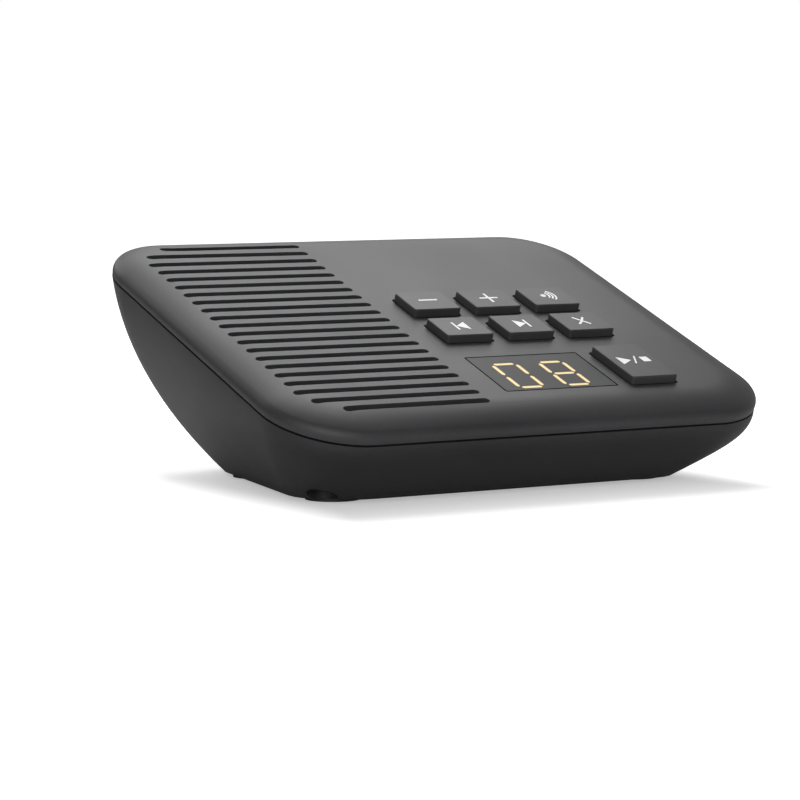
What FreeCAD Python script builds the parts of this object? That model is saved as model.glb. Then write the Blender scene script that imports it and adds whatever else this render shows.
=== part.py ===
import FreeCAD, Part
import Sketcher
import math
import os

# Desktop answering machine: a sloping cover with a slotted speaker grille, a flush display
# window and seven sprung keys, on a bowl shaped lower shell that stands on four rubber feet.
# Millimetres, +Z up, front towards -Y. The origin is on the table under the middle of the
# machine. Pieces under the cover are drawn in the frame of the sloping top face: u is X,
# v runs up the slope and n stands square to it, with n = 0 on the face.

SIZES = [
    ("tilt", 20.0, "slope of the top face, degrees"),
    ("mid_height", 38.1, "height of the top face at its middle"),
    ("rim_width", 130.6, "cover over its widest edge, across"),
    ("rim_length", 108.6, "cover over its widest edge, along the slope"),
    ("rim_radius", 20.0, "corner radius of the widest edge"),
    ("cover_depth", 5.0, "top face to the parting edge"),
    ("shoulder_run", 10.0, "width of the rounded shoulder"),
    ("shoulder_drop", 4.2, "top face down to the widest edge"),
    ("crown_radius", 20.0, "large arc of the shoulder"),
    ("edge_tuck", 1.6, "parting edge inside the widest edge"),
    ("top_wall", 2.4, "thickness of the sloping top"),
    ("skirt_wall", 1.8, "thickness of the cover's skirt at the parting edge"),
    ("parting_gap", 0.5, "dark joint between cover and lower shell"),
    ("slot_count", 21, "slots in the grille"),
    ("grille_end", 8.9, "widest edge to the middle of the first slot"),
    ("slot_width", 2.15, "width of a slot"),
    ("grille_right", 13.3, "middle of the cover to the right ends of the slots"),
    ("grille_margin", 7.1, "widest edge to the ends of the slots"),
    ("grille_radius", 12.5, "corner radius of the grille's outline"),
    ("slot_below", 1.4, "slots run on under the top, through the roots of ribs"),
    ("rib_root", 0.4, "ribs and posts inside what carries them"),
    ("cut_clear", 1.0, "cuts start this far outside the piece"),
    ("key_width", 12.7, "key across"),
    ("key_depth", 10.2, "key along the slope"),
    ("key_column", 0.3, "middle of the first key column, u"),
    ("key_row", 5.85, "middle of the rear key row, v"),
    ("key_pitch_u", 17.07, "key column to key column"),
    ("key_pitch_v", 15.25, "key row to key row"),
    ("play_depth", 17.9, "play/stop key along the slope"),
    ("play_row", -32.7, "middle of the play/stop key, v"),
    ("key_proud", 1.9, "key above the top face at rest"),
    ("key_gap", 0.3, "gap round a key and a plunger"),
    ("key_radius", 0.6, "upright corners of a key"),
    ("key_softness", 0.3, "rounding of a key's top edge"),
    ("key_travel", 1.0, "travel of a key"),
    ("flange_reach", 0.9, "key flange beyond the key"),
    ("flange_thick", 1.0, "thickness of the key flange"),
    ("dome_width", 6.0, "rubber dome at its foot"),
    ("dome_height", 1.6, "rubber dome above the mat"),
    ("plunger_wall", 1.1, "wall of the tubular plunger"),
    ("plunger_reach", 0.5, "plunger below the key's flange"),
    ("dome_gap", 0.4, "rubber dome to the bore of its plunger"),
    ("dome_taper", 12.0, "slope of a dome's side, degrees"),
    ("mat_inset", 0.8, "edge of the key mat inside the outer keys"),
    ("mat_thick", 1.0, "sheet of the key mat"),
    ("board_thick", 1.6, "circuit boards"),
    ("window_width", 30.4, "display window across"),
    ("window_depth", 18.5, "display window along the slope"),
    ("window_row", -32.25, "middle of the display window, v"),
    ("window_left", -6.2, "left edge of the display window, u"),
    ("window_thick", 1.4, "thickness of the display window"),
    ("window_gap", 0.25, "joint round the display window"),
    ("window_ledge", 1.2, "ledge that the display window lies on"),
    ("window_radius", 0.2, "upright corners of the display window"),
    ("digit_height", 12.6, "digit between bar middles"),
    ("digit_width", 6.5, "digit between bar middles"),
    ("digit_pitch", 12.8, "digit to digit"),
    ("digit_row", -33.7, "middle of the digits, v"),
    ("digit_first", 1.6, "middle of the first digit, u"),
    ("bar_width", 0.62, "width of a lit bar"),
    ("bar_depth", 0.6, "depth of a lit bar in the window"),
    ("bar_gap", 0.28, "mitred gap between lit bars"),
    ("bar_fit", 0.02, "lit bar to its seat in the window"),
    ("module_width", 25.0, "display module across"),
    ("module_depth", 16.0, "display module along the slope"),
    ("module_gap", 0.3, "display module to the underside of the top"),
    ("speaker_radius", 22.5, "outer radius of the speaker's flange"),
    ("speaker_gap", 0.3, "speaker to its locating ring"),
    ("cloth_thick", 0.6, "speaker cloth"),
    ("gasket_thick", 0.8, "foam gasket"),
    ("gasket_width", 2.4, "foam gasket, across its ring"),
    ("basket_wall", 1.0, "pressed steel of the basket"),
    ("basket_flange", 2.9, "flat flange of the basket"),
    ("basket_depth", 8.0, "flange to the basket's back"),
    ("magnet_radius", 10.5, "outer radius of the magnet"),
    ("magnet_thick", 5.0, "thickness of the magnet"),
    ("magnet_edge", 0.5, "basket's back beyond the magnet, magnet beyond its plate"),
    ("magnet_bore_gap", 1.4, "voice coil to the bore of the magnet"),
    ("yoke_thick", 1.5, "back plate of the magnet"),
    ("pole_radius", 3.2, "centre pole"),
    ("coil_gap", 0.35, "voice coil to pole and plate"),
    ("coil_wall", 0.4, "wall of the voice coil"),
    ("coil_reach", 1.0, "voice coil below the basket's back"),
    ("cone_wall", 0.45, "paper of the cone"),
    ("neck_depth", 4.4, "basket's flange to the neck of the cone"),
    ("roll_width", 1.6, "surround between cone and basket"),
    ("roll_rise", 0.4, "roll of the surround above the cone's edge"),
    ("roll_flat", 0.35, "flat edge of the surround"),
    ("roll_slope", 0.25, "sloping side of the surround's roll"),
    ("roll_shift", 0.15, "upper bend of the roll outside its lower bend"),
    ("cap_beyond", 2.0, "dust cap beyond the voice coil"),
    ("cap_rise", 1.6, "height of the dust cap"),
    ("cap_wall", 0.3, "wall of the dust cap"),
    ("ring_wall", 1.5, "locating ring round the speaker"),
    ("ring_relief", 0.2, "end of the locating ring short of the speaker's flange"),
    ("clamp_gap", 0.3, "locating ring to a clamp boss"),
    ("clamp_angle", 50.0, "speaker clamps from the u axis, degrees"),
    ("washer_radius", 5.5, "clamp washer"),
    ("washer_thick", 0.8, "clamp washer"),
    ("boss_radius", 2.3, "screw boss"),
    ("pilot_radius", 0.9, "bore in a screw boss"),
    ("screw_gap", 0.1, "screw shank to its bore"),
    ("screw_end_gap", 0.3, "end of a clamp screw to the end of its bore"),
    ("small_head_radius", 2.4, "head of a board screw"),
    ("small_head_thick", 1.5, "head of a board screw"),
    ("small_screw_length", 5.0, "shank of a board screw"),
    ("board_window", 6.4, "left edge of the display window to the left edge of the key board"),
    ("board_right", 47.2, "right edge of the key board, u"),
    ("board_front", -43.8, "front edge of the key board, v"),
    ("board_rear", 29.0, "rear edge of the key board, v"),
    ("notch_gap", 0.5, "screw heads of the clamps to the key board"),
    ("corner_gap", 2.7, "cover boss to the corner notch of the key board"),
    ("notch_rear", -22.6, "corner notch of the key board, v"),
    ("board_screw_inset", 3.6, "left key board screws from the board's left edge"),
    ("board_screw_right", 44.6, "right key board screws, u"),
    ("board_screw_rear", 26.0, "rear key board screws, v"),
    ("board_screw_mid", -19.0, "right front key board screw, v"),
    ("board_screw_front", -34.0, "left front key board screw, v"),
    ("mic_from_speaker", 13.75, "middle of the speaker to the microphone, u"),
    ("mic_v", -38.0, "microphone, v"),
    ("mic_radius", 3.0, "microphone capsule"),
    ("mic_height", 4.0, "microphone capsule"),
    ("mic_gap", 0.3, "microphone to the underside of the top"),
    ("mic_ring_wall", 1.2, "ring round the microphone's boot"),
    ("boot_wall", 1.6, "rubber boot of the microphone"),
    ("boot_lip", 0.8, "lip of the boot under the microphone"),
    ("boot_floor", 1.0, "thickness of the boot's lip"),
    ("foot_protrusion", 1.0, "table to the bottom of the shell"),
    ("foot_radius", 6.3, "rubber foot"),
    ("foot_recess", 1.2, "depth of a foot's recess"),
    ("foot_gap", 0.25, "rubber foot to its recess"),
    ("foot_front_side", 10.1, "side of the base at its front to the front feet"),
    ("foot_front_edge", 9.4, "front edge of the base to the front feet"),
    ("foot_rear_side", 5.0, "side of the base at its rear to the rear feet"),
    ("foot_rear_edge", 21.6, "rear edge of the base to the rear feet"),
    ("base_front_half", 51.0, "half width of the base at its front"),
    ("base_rear_half", 38.5, "half width of the base at its rear"),
    ("base_front", -31.8, "front edge of the base, y"),
    ("base_rear", 46.6, "rear edge of the base, y"),
    ("base_front_radius", 8.0, "front corners of the base"),
    ("base_rear_radius", 22.0, "rear corners of the base"),
    ("shell_wall", 3.0, "wall of the lower shell"),
    ("floor_thick", 2.5, "floor of the lower shell"),
    ("lip_wall", 1.2, "tongue that rises behind the joint"),
    ("lip_height", 2.0, "tongue above the shell's edge"),
    ("lip_gap", 0.3, "tongue to the cover's skirt"),
    ("well_key_gap", 3.21, "flange of the right keys to the cover boss of a front well"),
    ("well_front_edge", 1.3, "front edge of the base to the front screw wells"),
    ("well_rear_side", 8.5, "side of the base at its rear to the rear screw wells"),
    ("well_rear_edge", 10.6, "rear edge of the base to the rear screw wells"),
    ("well_radius", 3.3, "bore of a screw well"),
    ("well_wall", 1.6, "wall of a screw well"),
    ("well_depth", 8.5, "bottom of the shell to the screw's seat"),
    ("well_seat", 2.0, "seat under the screw's head"),
    ("case_head_radius", 2.8, "head of a case screw"),
    ("case_head_thick", 2.2, "head of a case screw"),
    ("case_shank_radius", 1.5, "shank of a case screw"),
    ("case_screw_length", 10.0, "shank of a case screw"),
    ("case_boss_radius", 3.1, "cover boss for a case screw"),
    ("main_side", 12.5, "side of the base at its rear to the main board"),
    ("main_front_edge", 7.8, "front edge of the base to the main board"),
    ("main_rear_gap", 0.6, "main board to the rear wall"),
    ("main_radius", 15.0, "corners of the main board"),
    ("main_rise", 3.0, "floor to the main board"),
    ("main_screw_side", 6.0, "side of the main board to its screws"),
    ("main_screw_front", 8.0, "front edge of the main board to its front screws"),
    ("main_screw_rear", 13.0, "rear edge of the main board to its rear screws"),
    ("processor_x", -8.0, "middle of the processor chip"),
    ("processor_y", -6.0, "middle of the processor chip, y"),
    ("processor_side", 12.0, "processor chip, each way"),
    ("processor_thick", 1.6, "processor chip"),
    ("memory_x", 10.0, "middle of the memory chip"),
    ("memory_y", -8.0, "middle of the memory chip, y"),
    ("memory_width", 11.0, "memory chip across"),
    ("memory_depth", 8.0, "memory chip, front to back"),
    ("memory_thick", 1.4, "memory chip"),
    ("transformer_side", 12.1, "middle of the line socket to the line transformer"),
    ("transformer_y", 10.0, "middle of the line transformer, y"),
    ("transformer_width", 13.0, "line transformer across"),
    ("transformer_depth", 12.0, "line transformer, front to back"),
    ("transformer_height", 11.0, "line transformer"),
    ("can_radius", 3.15, "capacitor can"),
    ("can_height", 11.0, "capacitor can"),
    ("can_side", 4.5, "side of the main board to two of the capacitors"),
    ("can_front_y", 0.0, "front capacitor, y"),
    ("can_rear_y", 8.0, "rear capacitor, y"),
    ("can_line_x", 3.4, "middle of the line socket to its capacitor"),
    ("can_line_y", 14.0, "capacitor of the line socket, y"),
    ("line_x", -5.4, "middle of the line socket"),
    ("line_width", 13.0, "line socket across"),
    ("line_height", 11.6, "line socket, height"),
    ("line_length", 16.0, "line socket, front to back"),
    ("line_bore_width", 9.8, "mouth of the line socket"),
    ("line_bore_height", 6.8, "mouth of the line socket"),
    ("line_bore_depth", 12.5, "depth of the line socket's mouth"),
    ("line_bore_rise", 0.4, "mouth above the middle of the line socket"),
    ("latch_width", 6.2, "latch notch under the mouth"),
    ("latch_height", 1.6, "latch notch under the mouth"),
    ("latch_depth", 9.5, "depth of the latch notch"),
    ("contact_width", 0.5, "contact wire"),
    ("contact_pitch", 1.02, "contact to contact"),
    ("contact_inset", 2.0, "face of the line socket to its contacts"),
    ("power_x", 7.9, "middle of the power socket"),
    ("power_width", 9.0, "power socket across"),
    ("power_height", 11.0, "power socket, height"),
    ("power_length", 14.0, "power socket, front to back"),
    ("power_bore_radius", 3.2, "bore of the power socket"),
    ("power_bore_depth", 9.5, "depth of the power socket's bore"),
    ("power_pin_radius", 1.0, "pin of the power socket"),
    ("power_pin_inset", 1.0, "face of the power socket to its pin"),
    ("socket_gap", 0.3, "socket to the opening in the shell"),
    ("lead_width", 10.0, "flat lead between the boards"),
    ("lead_thick", 0.7, "flat lead between the boards"),
    ("lead_x", 12.0, "middle of the flat lead"),
    ("lead_v", 17.0, "upper end of the flat lead, v"),
    ("lead_run", 6.0, "straight of the flat lead under its upper connector"),
    ("lead_bend", 22.0, "bend of the flat lead"),
    ("plug_width", 13.0, "connector of the flat lead"),
    ("plug_depth", 4.0, "connector of the flat lead"),
    ("plug_height", 3.5, "connector of the flat lead"),
]
SIZE = {name: float(value) for name, value, note in SIZES}

doc = FreeCAD.newDocument("AnsweringMachine")
sheet = doc.addObject("Spreadsheet::Sheet", "Sizes")
for row, (name, value, note) in enumerate(SIZES, start=1):
    sheet.set("A%d" % row, name)
    sheet.set("B%d" % row, str(value))
    sheet.set("C%d" % row, note)
    sheet.setAlias("B%d" % row, name)
doc.recompute()


class Dim:
    """A length with its present value and the expression that it follows."""

    def __init__(self, value, text):
        self.value = float(value)
        self.text = text

    @staticmethod
    def of(other):
        if isinstance(other, Dim):
            return other
        if other < 0:
            return Dim(other, "(0 - %r)" % abs(float(other)))
        return Dim(other, "%r" % float(other))

    def __add__(self, other):
        other = Dim.of(other)
        return Dim(self.value + other.value, "(%s + %s)" % (self.text, other.text))

    def __sub__(self, other):
        other = Dim.of(other)
        return Dim(self.value - other.value, "(%s - %s)" % (self.text, other.text))

    def __mul__(self, other):
        other = Dim.of(other)
        return Dim(self.value * other.value, "(%s * %s)" % (self.text, other.text))

    def __truediv__(self, other):
        other = Dim.of(other)
        return Dim(self.value / other.value, "(%s / %s)" % (self.text, other.text))

    def __radd__(self, other):
        return Dim.of(other) + self

    def __rsub__(self, other):
        return Dim.of(other) - self

    def __rmul__(self, other):
        return Dim.of(other) * self

    def __neg__(self):
        return Dim(-self.value, "(0 - %s)" % self.text)


def S(name):
    return Dim(SIZE[name], "Sizes.%s" % name)


def root(dim):
    return Dim(math.sqrt(dim.value), "sqrt(%s)" % dim.text)


def cosine(dim):
    return Dim(math.cos(math.radians(dim.value)), "cos(%s)" % dim.text)


def sine(dim):
    return Dim(math.sin(math.radians(dim.value)), "sin(%s)" % dim.text)


ZERO = Dim.of(0.0)
COS = cosine(S("tilt"))
SIN = sine(S("tilt"))

# The sloping face is set so that the machine's widest edges lie the same way before and
# behind the origin: the front of a rounded shoulder reaches a little past its own edge.
RUN = S("shoulder_run") * COS
FALL = S("shoulder_drop") * SIN
MID_Y = (root(RUN * RUN + FALL * FALL) - RUN - FALL * 2.0) / 2.0
MID_Z = S("mid_height")


def bind(thing, prop, dim):
    thing.setExpression(prop, dim.text)


def tilted(thing, u=ZERO, v=ZERO, n=ZERO):
    """Place a piece in the frame of the sloping face."""
    u, v, n = Dim.of(u), Dim.of(v), Dim.of(n)
    y = MID_Y + v * COS - n * SIN
    z = MID_Z + v * SIN + n * COS
    thing.Placement = FreeCAD.Placement(
        FreeCAD.Vector(u.value, y.value, z.value),
        FreeCAD.Rotation(FreeCAD.Vector(1, 0, 0), SIZE["tilt"]))
    bind(thing, "Placement.Base.x", u)
    bind(thing, "Placement.Base.y", y)
    bind(thing, "Placement.Base.z", z)
    bind(thing, "Placement.Rotation.Angle", S("tilt"))
    return thing


def upright(thing, x=ZERO, y=ZERO, z=ZERO):
    """Place a piece square to the table."""
    x, y, z = Dim.of(x), Dim.of(y), Dim.of(z)
    thing.Placement = FreeCAD.Placement(
        FreeCAD.Vector(x.value, y.value, z.value), FreeCAD.Rotation())
    bind(thing, "Placement.Base.x", x)
    bind(thing, "Placement.Base.y", y)
    bind(thing, "Placement.Base.z", z)
    return thing


def body(label):
    made = doc.addObject("PartDesign::Body", label)
    made.Label = label
    return made


def plane_of(owner, role):
    for feature in owner.Origin.OriginFeatures:
        if feature.Role == role:
            return feature


class Draw:
    """A sketch whose every length follows the sheet."""

    def __init__(self, owner, name, role="XY_Plane", lift=None):
        if owner is None:
            self.sk = doc.addObject("Sketcher::SketchObject", name)
        else:
            self.sk = owner.newObject("Sketcher::SketchObject", name)
            self.sk.AttachmentSupport = [(plane_of(owner, role), "")]
            self.sk.MapMode = "FlatFace"
            if lift is not None:
                bind(self.sk, "AttachmentOffset.Base.z", Dim.of(lift))

    def rule(self, kind, *ids):
        self.sk.addConstraint(Sketcher.Constraint(kind, *ids))

    def hold(self, dim, kind, *ids):
        dim = Dim.of(dim)
        spot = self.sk.addConstraint(Sketcher.Constraint(kind, *ids, dim.value))
        self.sk.setExpression("Constraints[%d]" % spot, dim.text)

    def point(self, geo, pos, x, y):
        self.hold(x, "DistanceX", -1, 1, geo, pos)
        self.hold(y, "DistanceY", -1, 1, geo, pos)

    def circle(self, x, y, radius):
        x, y, radius = Dim.of(x), Dim.of(y), Dim.of(radius)
        geo = self.sk.addGeometry(Part.Circle(
            FreeCAD.Vector(x.value, y.value, 0), FreeCAD.Vector(0, 0, 1), radius.value), False)
        self.point(geo, 3, x, y)
        self.hold(radius, "Radius", geo)

    def polygon(self, points):
        points = [(Dim.of(x), Dim.of(y)) for x, y in points]
        spots = [FreeCAD.Vector(x.value, y.value, 0) for x, y in points]
        first = self.sk.GeometryCount
        count = len(points)
        for i in range(count):
            self.sk.addGeometry(Part.LineSegment(spots[i], spots[(i + 1) % count]), False)
        for i in range(count):
            self.rule("Coincident", first + i, 2, first + (i + 1) % count, 1)
        for i in range(count):
            self.point(first + i, 1, *points[i])

    def box(self, x, y, width, depth, radius=None):
        """A rectangle about its middle, with rounded corners if a radius is given."""
        x, y, width, depth = Dim.of(x), Dim.of(y), Dim.of(width), Dim.of(depth)
        left, right = x - width / 2.0, x + width / 2.0
        front, rear = y - depth / 2.0, y + depth / 2.0
        if radius is None:
            self.polygon([(left, front), (right, front), (right, rear), (left, rear)])
            return
        radius = Dim.of(radius)
        self.loop([
            ("line", left + radius, front, right - radius, front),
            ("arc", right - radius, front + radius, radius, 270, 360),
            ("line", right, front + radius, right, rear - radius),
            ("arc", right - radius, rear - radius, radius, 0, 90),
            ("line", right - radius, rear, left + radius, rear),
            ("arc", left + radius, rear - radius, radius, 90, 180),
            ("line", left, rear - radius, left, front + radius),
            ("arc", left + radius, front + radius, radius, 180, 270)])

    def stadium(self, left, right, y, width):
        left, right, y, width = Dim.of(left), Dim.of(right), Dim.of(y), Dim.of(width)
        half = width / 2.0
        self.loop([
            ("line", left + half, y - half, right - half, y - half),
            ("arc", right - half, y, half, 270, 450),
            ("line", right - half, y + half, left + half, y + half),
            ("arc", left + half, y, half, 90, 270)])

    def loop(self, parts):
        """Lines held at both ends, joined by arcs held by their middles."""
        first = self.sk.GeometryCount
        for part in parts:
            if part[0] == "line":
                a, b, c, d = [Dim.of(item).value for item in part[1:5]]
                self.sk.addGeometry(Part.LineSegment(
                    FreeCAD.Vector(a, b, 0), FreeCAD.Vector(c, d, 0)), False)
            else:
                x, y, r = [Dim.of(item).value for item in part[1:4]]
                round_edge = Part.Circle(FreeCAD.Vector(x, y, 0), FreeCAD.Vector(0, 0, 1), r)
                self.sk.addGeometry(Part.ArcOfCircle(
                    round_edge, math.radians(part[4]), math.radians(part[5])), False)
        count = len(parts)
        for i, part in enumerate(parts):
            geo, after = first + i, first + (i + 1) % count
            # an arc runs anticlockwise, so the loop does too
            self.rule("Coincident", geo, 2, after, 1)
        for i, part in enumerate(parts):
            geo = first + i
            if part[0] == "line":
                self.point(geo, 1, part[1], part[2])
                self.point(geo, 2, part[3], part[4])
            else:
                # with both ends held, the middle's x alone settles the arc
                self.hold(part[1], "DistanceX", -1, 1, geo, 3)


def pad(owner, name, draw, length, reverse=False, taper=None):
    made = owner.newObject("PartDesign::Pad", name)
    made.Profile = draw.sk
    bind(made, "Length", Dim.of(length))
    made.Reversed = reverse
    if taper is not None:
        bind(made, "TaperAngle", taper)
    draw.sk.Visibility = False
    return made


def pocket(owner, name, draw, depth, reverse=False):
    made = owner.newObject("PartDesign::Pocket", name)
    made.Profile = draw.sk
    bind(made, "Length", Dim.of(depth))
    made.Reversed = reverse
    return made


def turned(owner, name, draw):
    made = owner.newObject("PartDesign::Revolution", name)
    made.Profile = draw.sk
    made.ReferenceAxis = (draw.sk, ["V_Axis"])
    made.Angle = 360
    return made


def block(name, place, x, y, z, width, depth, height):
    """A plain box given by its middle in x and y and its foot."""
    made = doc.addObject("Part::Box", name)
    width, depth, height = Dim.of(width), Dim.of(depth), Dim.of(height)
    bind(made, "Length", width)
    bind(made, "Width", depth)
    bind(made, "Height", height)
    place(made, Dim.of(x) - width / 2.0, Dim.of(y) - depth / 2.0, z)
    return made


def rod(name, place, x, y, z, radius, height):
    """A plain cylinder given by its middle and its foot."""
    made = doc.addObject("Part::Cylinder", name)
    bind(made, "Radius", Dim.of(radius))
    bind(made, "Height", Dim.of(height))
    place(made, x, y, z)
    return made


def join(name, *things):
    made = doc.addObject("Part::MultiFuse", name)
    made.Shapes = list(things)
    return made


def minus(name, base, tool):
    made = doc.addObject("Part::Cut", name)
    made.Base = base
    made.Tool = tool
    return made


def group(label, things):
    made = doc.addObject("Part::Compound", label)
    made.Label = label
    made.Links = list(things)
    return made


NODES = []


def node(thing, label=None):
    if label:
        thing.Label = label
    NODES.append(thing)
    return thing


# Levels under the sloping face, along n.
UNDER = -S("top_wall")
FLANGE_TOP = UNDER - S("key_gap")
FLANGE_FOOT = FLANGE_TOP - S("flange_thick")
PLUNGER_FOOT = FLANGE_FOOT - S("plunger_reach")
MAT_TOP = PLUNGER_FOOT - S("key_travel") - S("key_gap")
BOARD_TOP = MAT_TOP - S("mat_thick")
BOARD_FOOT = BOARD_TOP - S("board_thick")
SLOT_LEFT = -S("rim_width") / 2.0 + S("grille_margin")
SLOT_RIGHT = -S("grille_right")
SPEAKER_U = (SLOT_LEFT + SLOT_RIGHT) / 2.0
CLOTH_FOOT = -S("cloth_thick")
GASKET_FOOT = CLOTH_FOOT - S("gasket_thick")
FLANGE_UNDER = GASKET_FOOT - S("basket_wall")
CLAMP_REACH = (S("speaker_radius") + S("speaker_gap") + S("ring_wall") + S("clamp_gap")
               + S("boss_radius"))
CLAMP_U = CLAMP_REACH * cosine(S("clamp_angle"))
CLAMP_V = CLAMP_REACH * sine(S("clamp_angle"))
CLAMPS = [(SPEAKER_U + CLAMP_U, CLAMP_V), (SPEAKER_U + CLAMP_U, -CLAMP_V),
          (SPEAKER_U - CLAMP_U, CLAMP_V), (SPEAKER_U - CLAMP_U, -CLAMP_V)]
BOARD_LEFT = S("window_left") - S("board_window")
BOARD_SCREW_LEFT = BOARD_LEFT + S("board_screw_inset")
MIC_U = SPEAKER_U + S("mic_from_speaker")
BOARD_SCREWS = [(BOARD_SCREW_LEFT, S("board_screw_rear")),
                (S("board_screw_right"), S("board_screw_rear")),
                (S("board_screw_right"), S("board_screw_mid")),
                (BOARD_SCREW_LEFT, S("board_screw_front"))]
COLUMNS = [S("key_column"), S("key_column") + S("key_pitch_u"),
           S("key_column") + S("key_pitch_u") * 2.0]
REAR_ROW = S("key_row")
FRONT_ROW = S("key_row") - S("key_pitch_v")
KEYS = [("minus_key", COLUMNS[0], REAR_ROW, S("key_depth")),
        ("plus_key", COLUMNS[1], REAR_ROW, S("key_depth")),
        ("paging_key", COLUMNS[2], REAR_ROW, S("key_depth")),
        ("skip_back_key", COLUMNS[0], FRONT_ROW, S("key_depth")),
        ("skip_forward_key", COLUMNS[1], FRONT_ROW, S("key_depth")),
        ("delete_key", COLUMNS[2], FRONT_ROW, S("key_depth")),
        ("play_stop_key", COLUMNS[2], S("play_row"), S("play_depth"))]
WINDOW_U = S("window_left") + S("window_width") / 2.0
WELL_X = (COLUMNS[2] + S("key_width") / 2.0 + S("flange_reach") + S("well_key_gap")
          + S("case_boss_radius"))
WELL_Y = S("base_front") + S("well_front_edge")
REAR_WELL_X = S("base_rear_half") - S("well_rear_side")
REAR_WELL_Y = S("base_rear") - S("well_rear_edge")
WELLS = [(WELL_X, WELL_Y), (-WELL_X, WELL_Y), (REAR_WELL_X, REAR_WELL_Y),
         (-REAR_WELL_X, REAR_WELL_Y)]
SEAT_TOP = S("foot_protrusion") + S("well_depth") + S("well_seat")


# Top cover: one moulding.
cover = tilted(body("top_cover"))
draw = Draw(cover, "cover_outline", lift=-S("cover_depth"))
draw.box(0, 0, S("rim_width"), S("rim_length"), S("rim_radius"))
cover_pad = pad(cover, "cover_block", draw, S("cover_depth"))

# The shoulder: a large arc off the top face and a small one down to the widest edge, then
# an undercut to the parting edge, swept round the outline.
spine = Draw(cover, "shoulder_path")
spine.box(0, 0, S("rim_width"), S("rim_length"), S("rim_radius"))
EDGE = -S("rim_length") / 2.0
BIG = S("crown_radius")
SMALL = ((BIG * S("shoulder_drop") * 2.0 - S("shoulder_run") * S("shoulder_run")
          - S("shoulder_drop") * S("shoulder_drop")) / ((BIG - S("shoulder_run")) * 2.0))
big_x, big_y = EDGE + S("shoulder_run"), -BIG
small_x, small_y = EDGE + SMALL, -S("shoulder_drop")
meet_x = small_x + (small_x - big_x) * SMALL / (BIG - SMALL)
meet_y = small_y + (small_y - big_y) * SMALL / (BIG - SMALL)
edge_cut = Draw(cover, "shoulder_profile", "YZ_Plane")
sk = edge_cut.sk
points = [(big_x, ZERO), (meet_x, meet_y), (EDGE, -S("shoulder_drop")),
          (EDGE + S("edge_tuck"), -S("cover_depth")),
          (EDGE + S("edge_tuck"), -S("cover_depth") - S("cut_clear")),
          (EDGE - S("cut_clear"), -S("cover_depth") - S("cut_clear")),
          (EDGE - S("cut_clear"), S("cut_clear")), (big_x, S("cut_clear"))]
where = [FreeCAD.Vector(x.value, y.value, 0) for x, y in points]


def arc_through(cx, cy, radius, start, end):
    circle = Part.Circle(FreeCAD.Vector(cx.value, cy.value, 0), FreeCAD.Vector(0, 0, 1),
                         radius.value)
    a = math.atan2(start.y - cy.value, start.x - cx.value)
    b = math.atan2(end.y - cy.value, end.x - cx.value)
    return Part.ArcOfCircle(circle, a, b)


sk.addGeometry(arc_through(big_x, big_y, BIG, where[0], where[1]), False)
sk.addGeometry(arc_through(small_x, small_y, SMALL, where[1], where[2]), False)
for i in range(2, 8):
    sk.addGeometry(Part.LineSegment(where[i], where[(i + 1) % 8]), False)
for i in range(8):
    edge_cut.rule("Coincident", i, 2, (i + 1) % 8, 1)
for i in range(8):
    edge_cut.point(i, 1, *points[i])
edge_cut.hold(BIG, "Radius", 0)
edge_cut.hold(SMALL, "Radius", 1)
shoulder = cover.newObject("PartDesign::SubtractivePipe", "shoulder")
shoulder.Profile = edge_cut.sk
shoulder.Spine = (spine.sk, [])

INNER = S("edge_tuck") + S("skirt_wall")
draw = Draw(cover, "cover_hollow_outline", lift=-S("cover_depth"))
draw.box(0, 0, S("rim_width") - INNER * 2.0, S("rim_length") - INNER * 2.0,
         S("rim_radius") - INNER)
pocket(cover, "cover_hollow", draw, S("cover_depth") - S("top_wall"), reverse=True)

# Ribs and bosses under the top.
ROOT = UNDER + S("rib_root")
draw = Draw(cover, "speaker_ring_outline", lift=ROOT)
ring_inner = S("speaker_radius") + S("speaker_gap")
draw.circle(SPEAKER_U, 0, ring_inner + S("ring_wall"))
draw.circle(SPEAKER_U, 0, ring_inner)
pad(cover, "speaker_ring", draw, S("rib_root") - FLANGE_UNDER - S("ring_relief"), reverse=True)
draw = Draw(cover, "clamp_boss_outline", lift=ROOT)
for u, v in CLAMPS:
    draw.circle(u, v, S("boss_radius"))
pad(cover, "clamp_bosses", draw, S("rib_root") - FLANGE_UNDER, reverse=True)
draw = Draw(cover, "board_boss_outline", lift=ROOT)
for u, v in BOARD_SCREWS:
    draw.circle(u, v, S("boss_radius"))
pad(cover, "board_bosses", draw, ROOT - BOARD_TOP, reverse=True)
draw = Draw(cover, "mic_ring_outline", lift=ROOT)
mic_outer = S("mic_radius") + S("boot_wall") + S("key_gap")
draw.circle(MIC_U, S("mic_v"), mic_outer + S("mic_ring_wall"))
draw.circle(MIC_U, S("mic_v"), mic_outer)
pad(cover, "mic_ring", draw, S("mic_height") + S("rib_root"), reverse=True)

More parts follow.
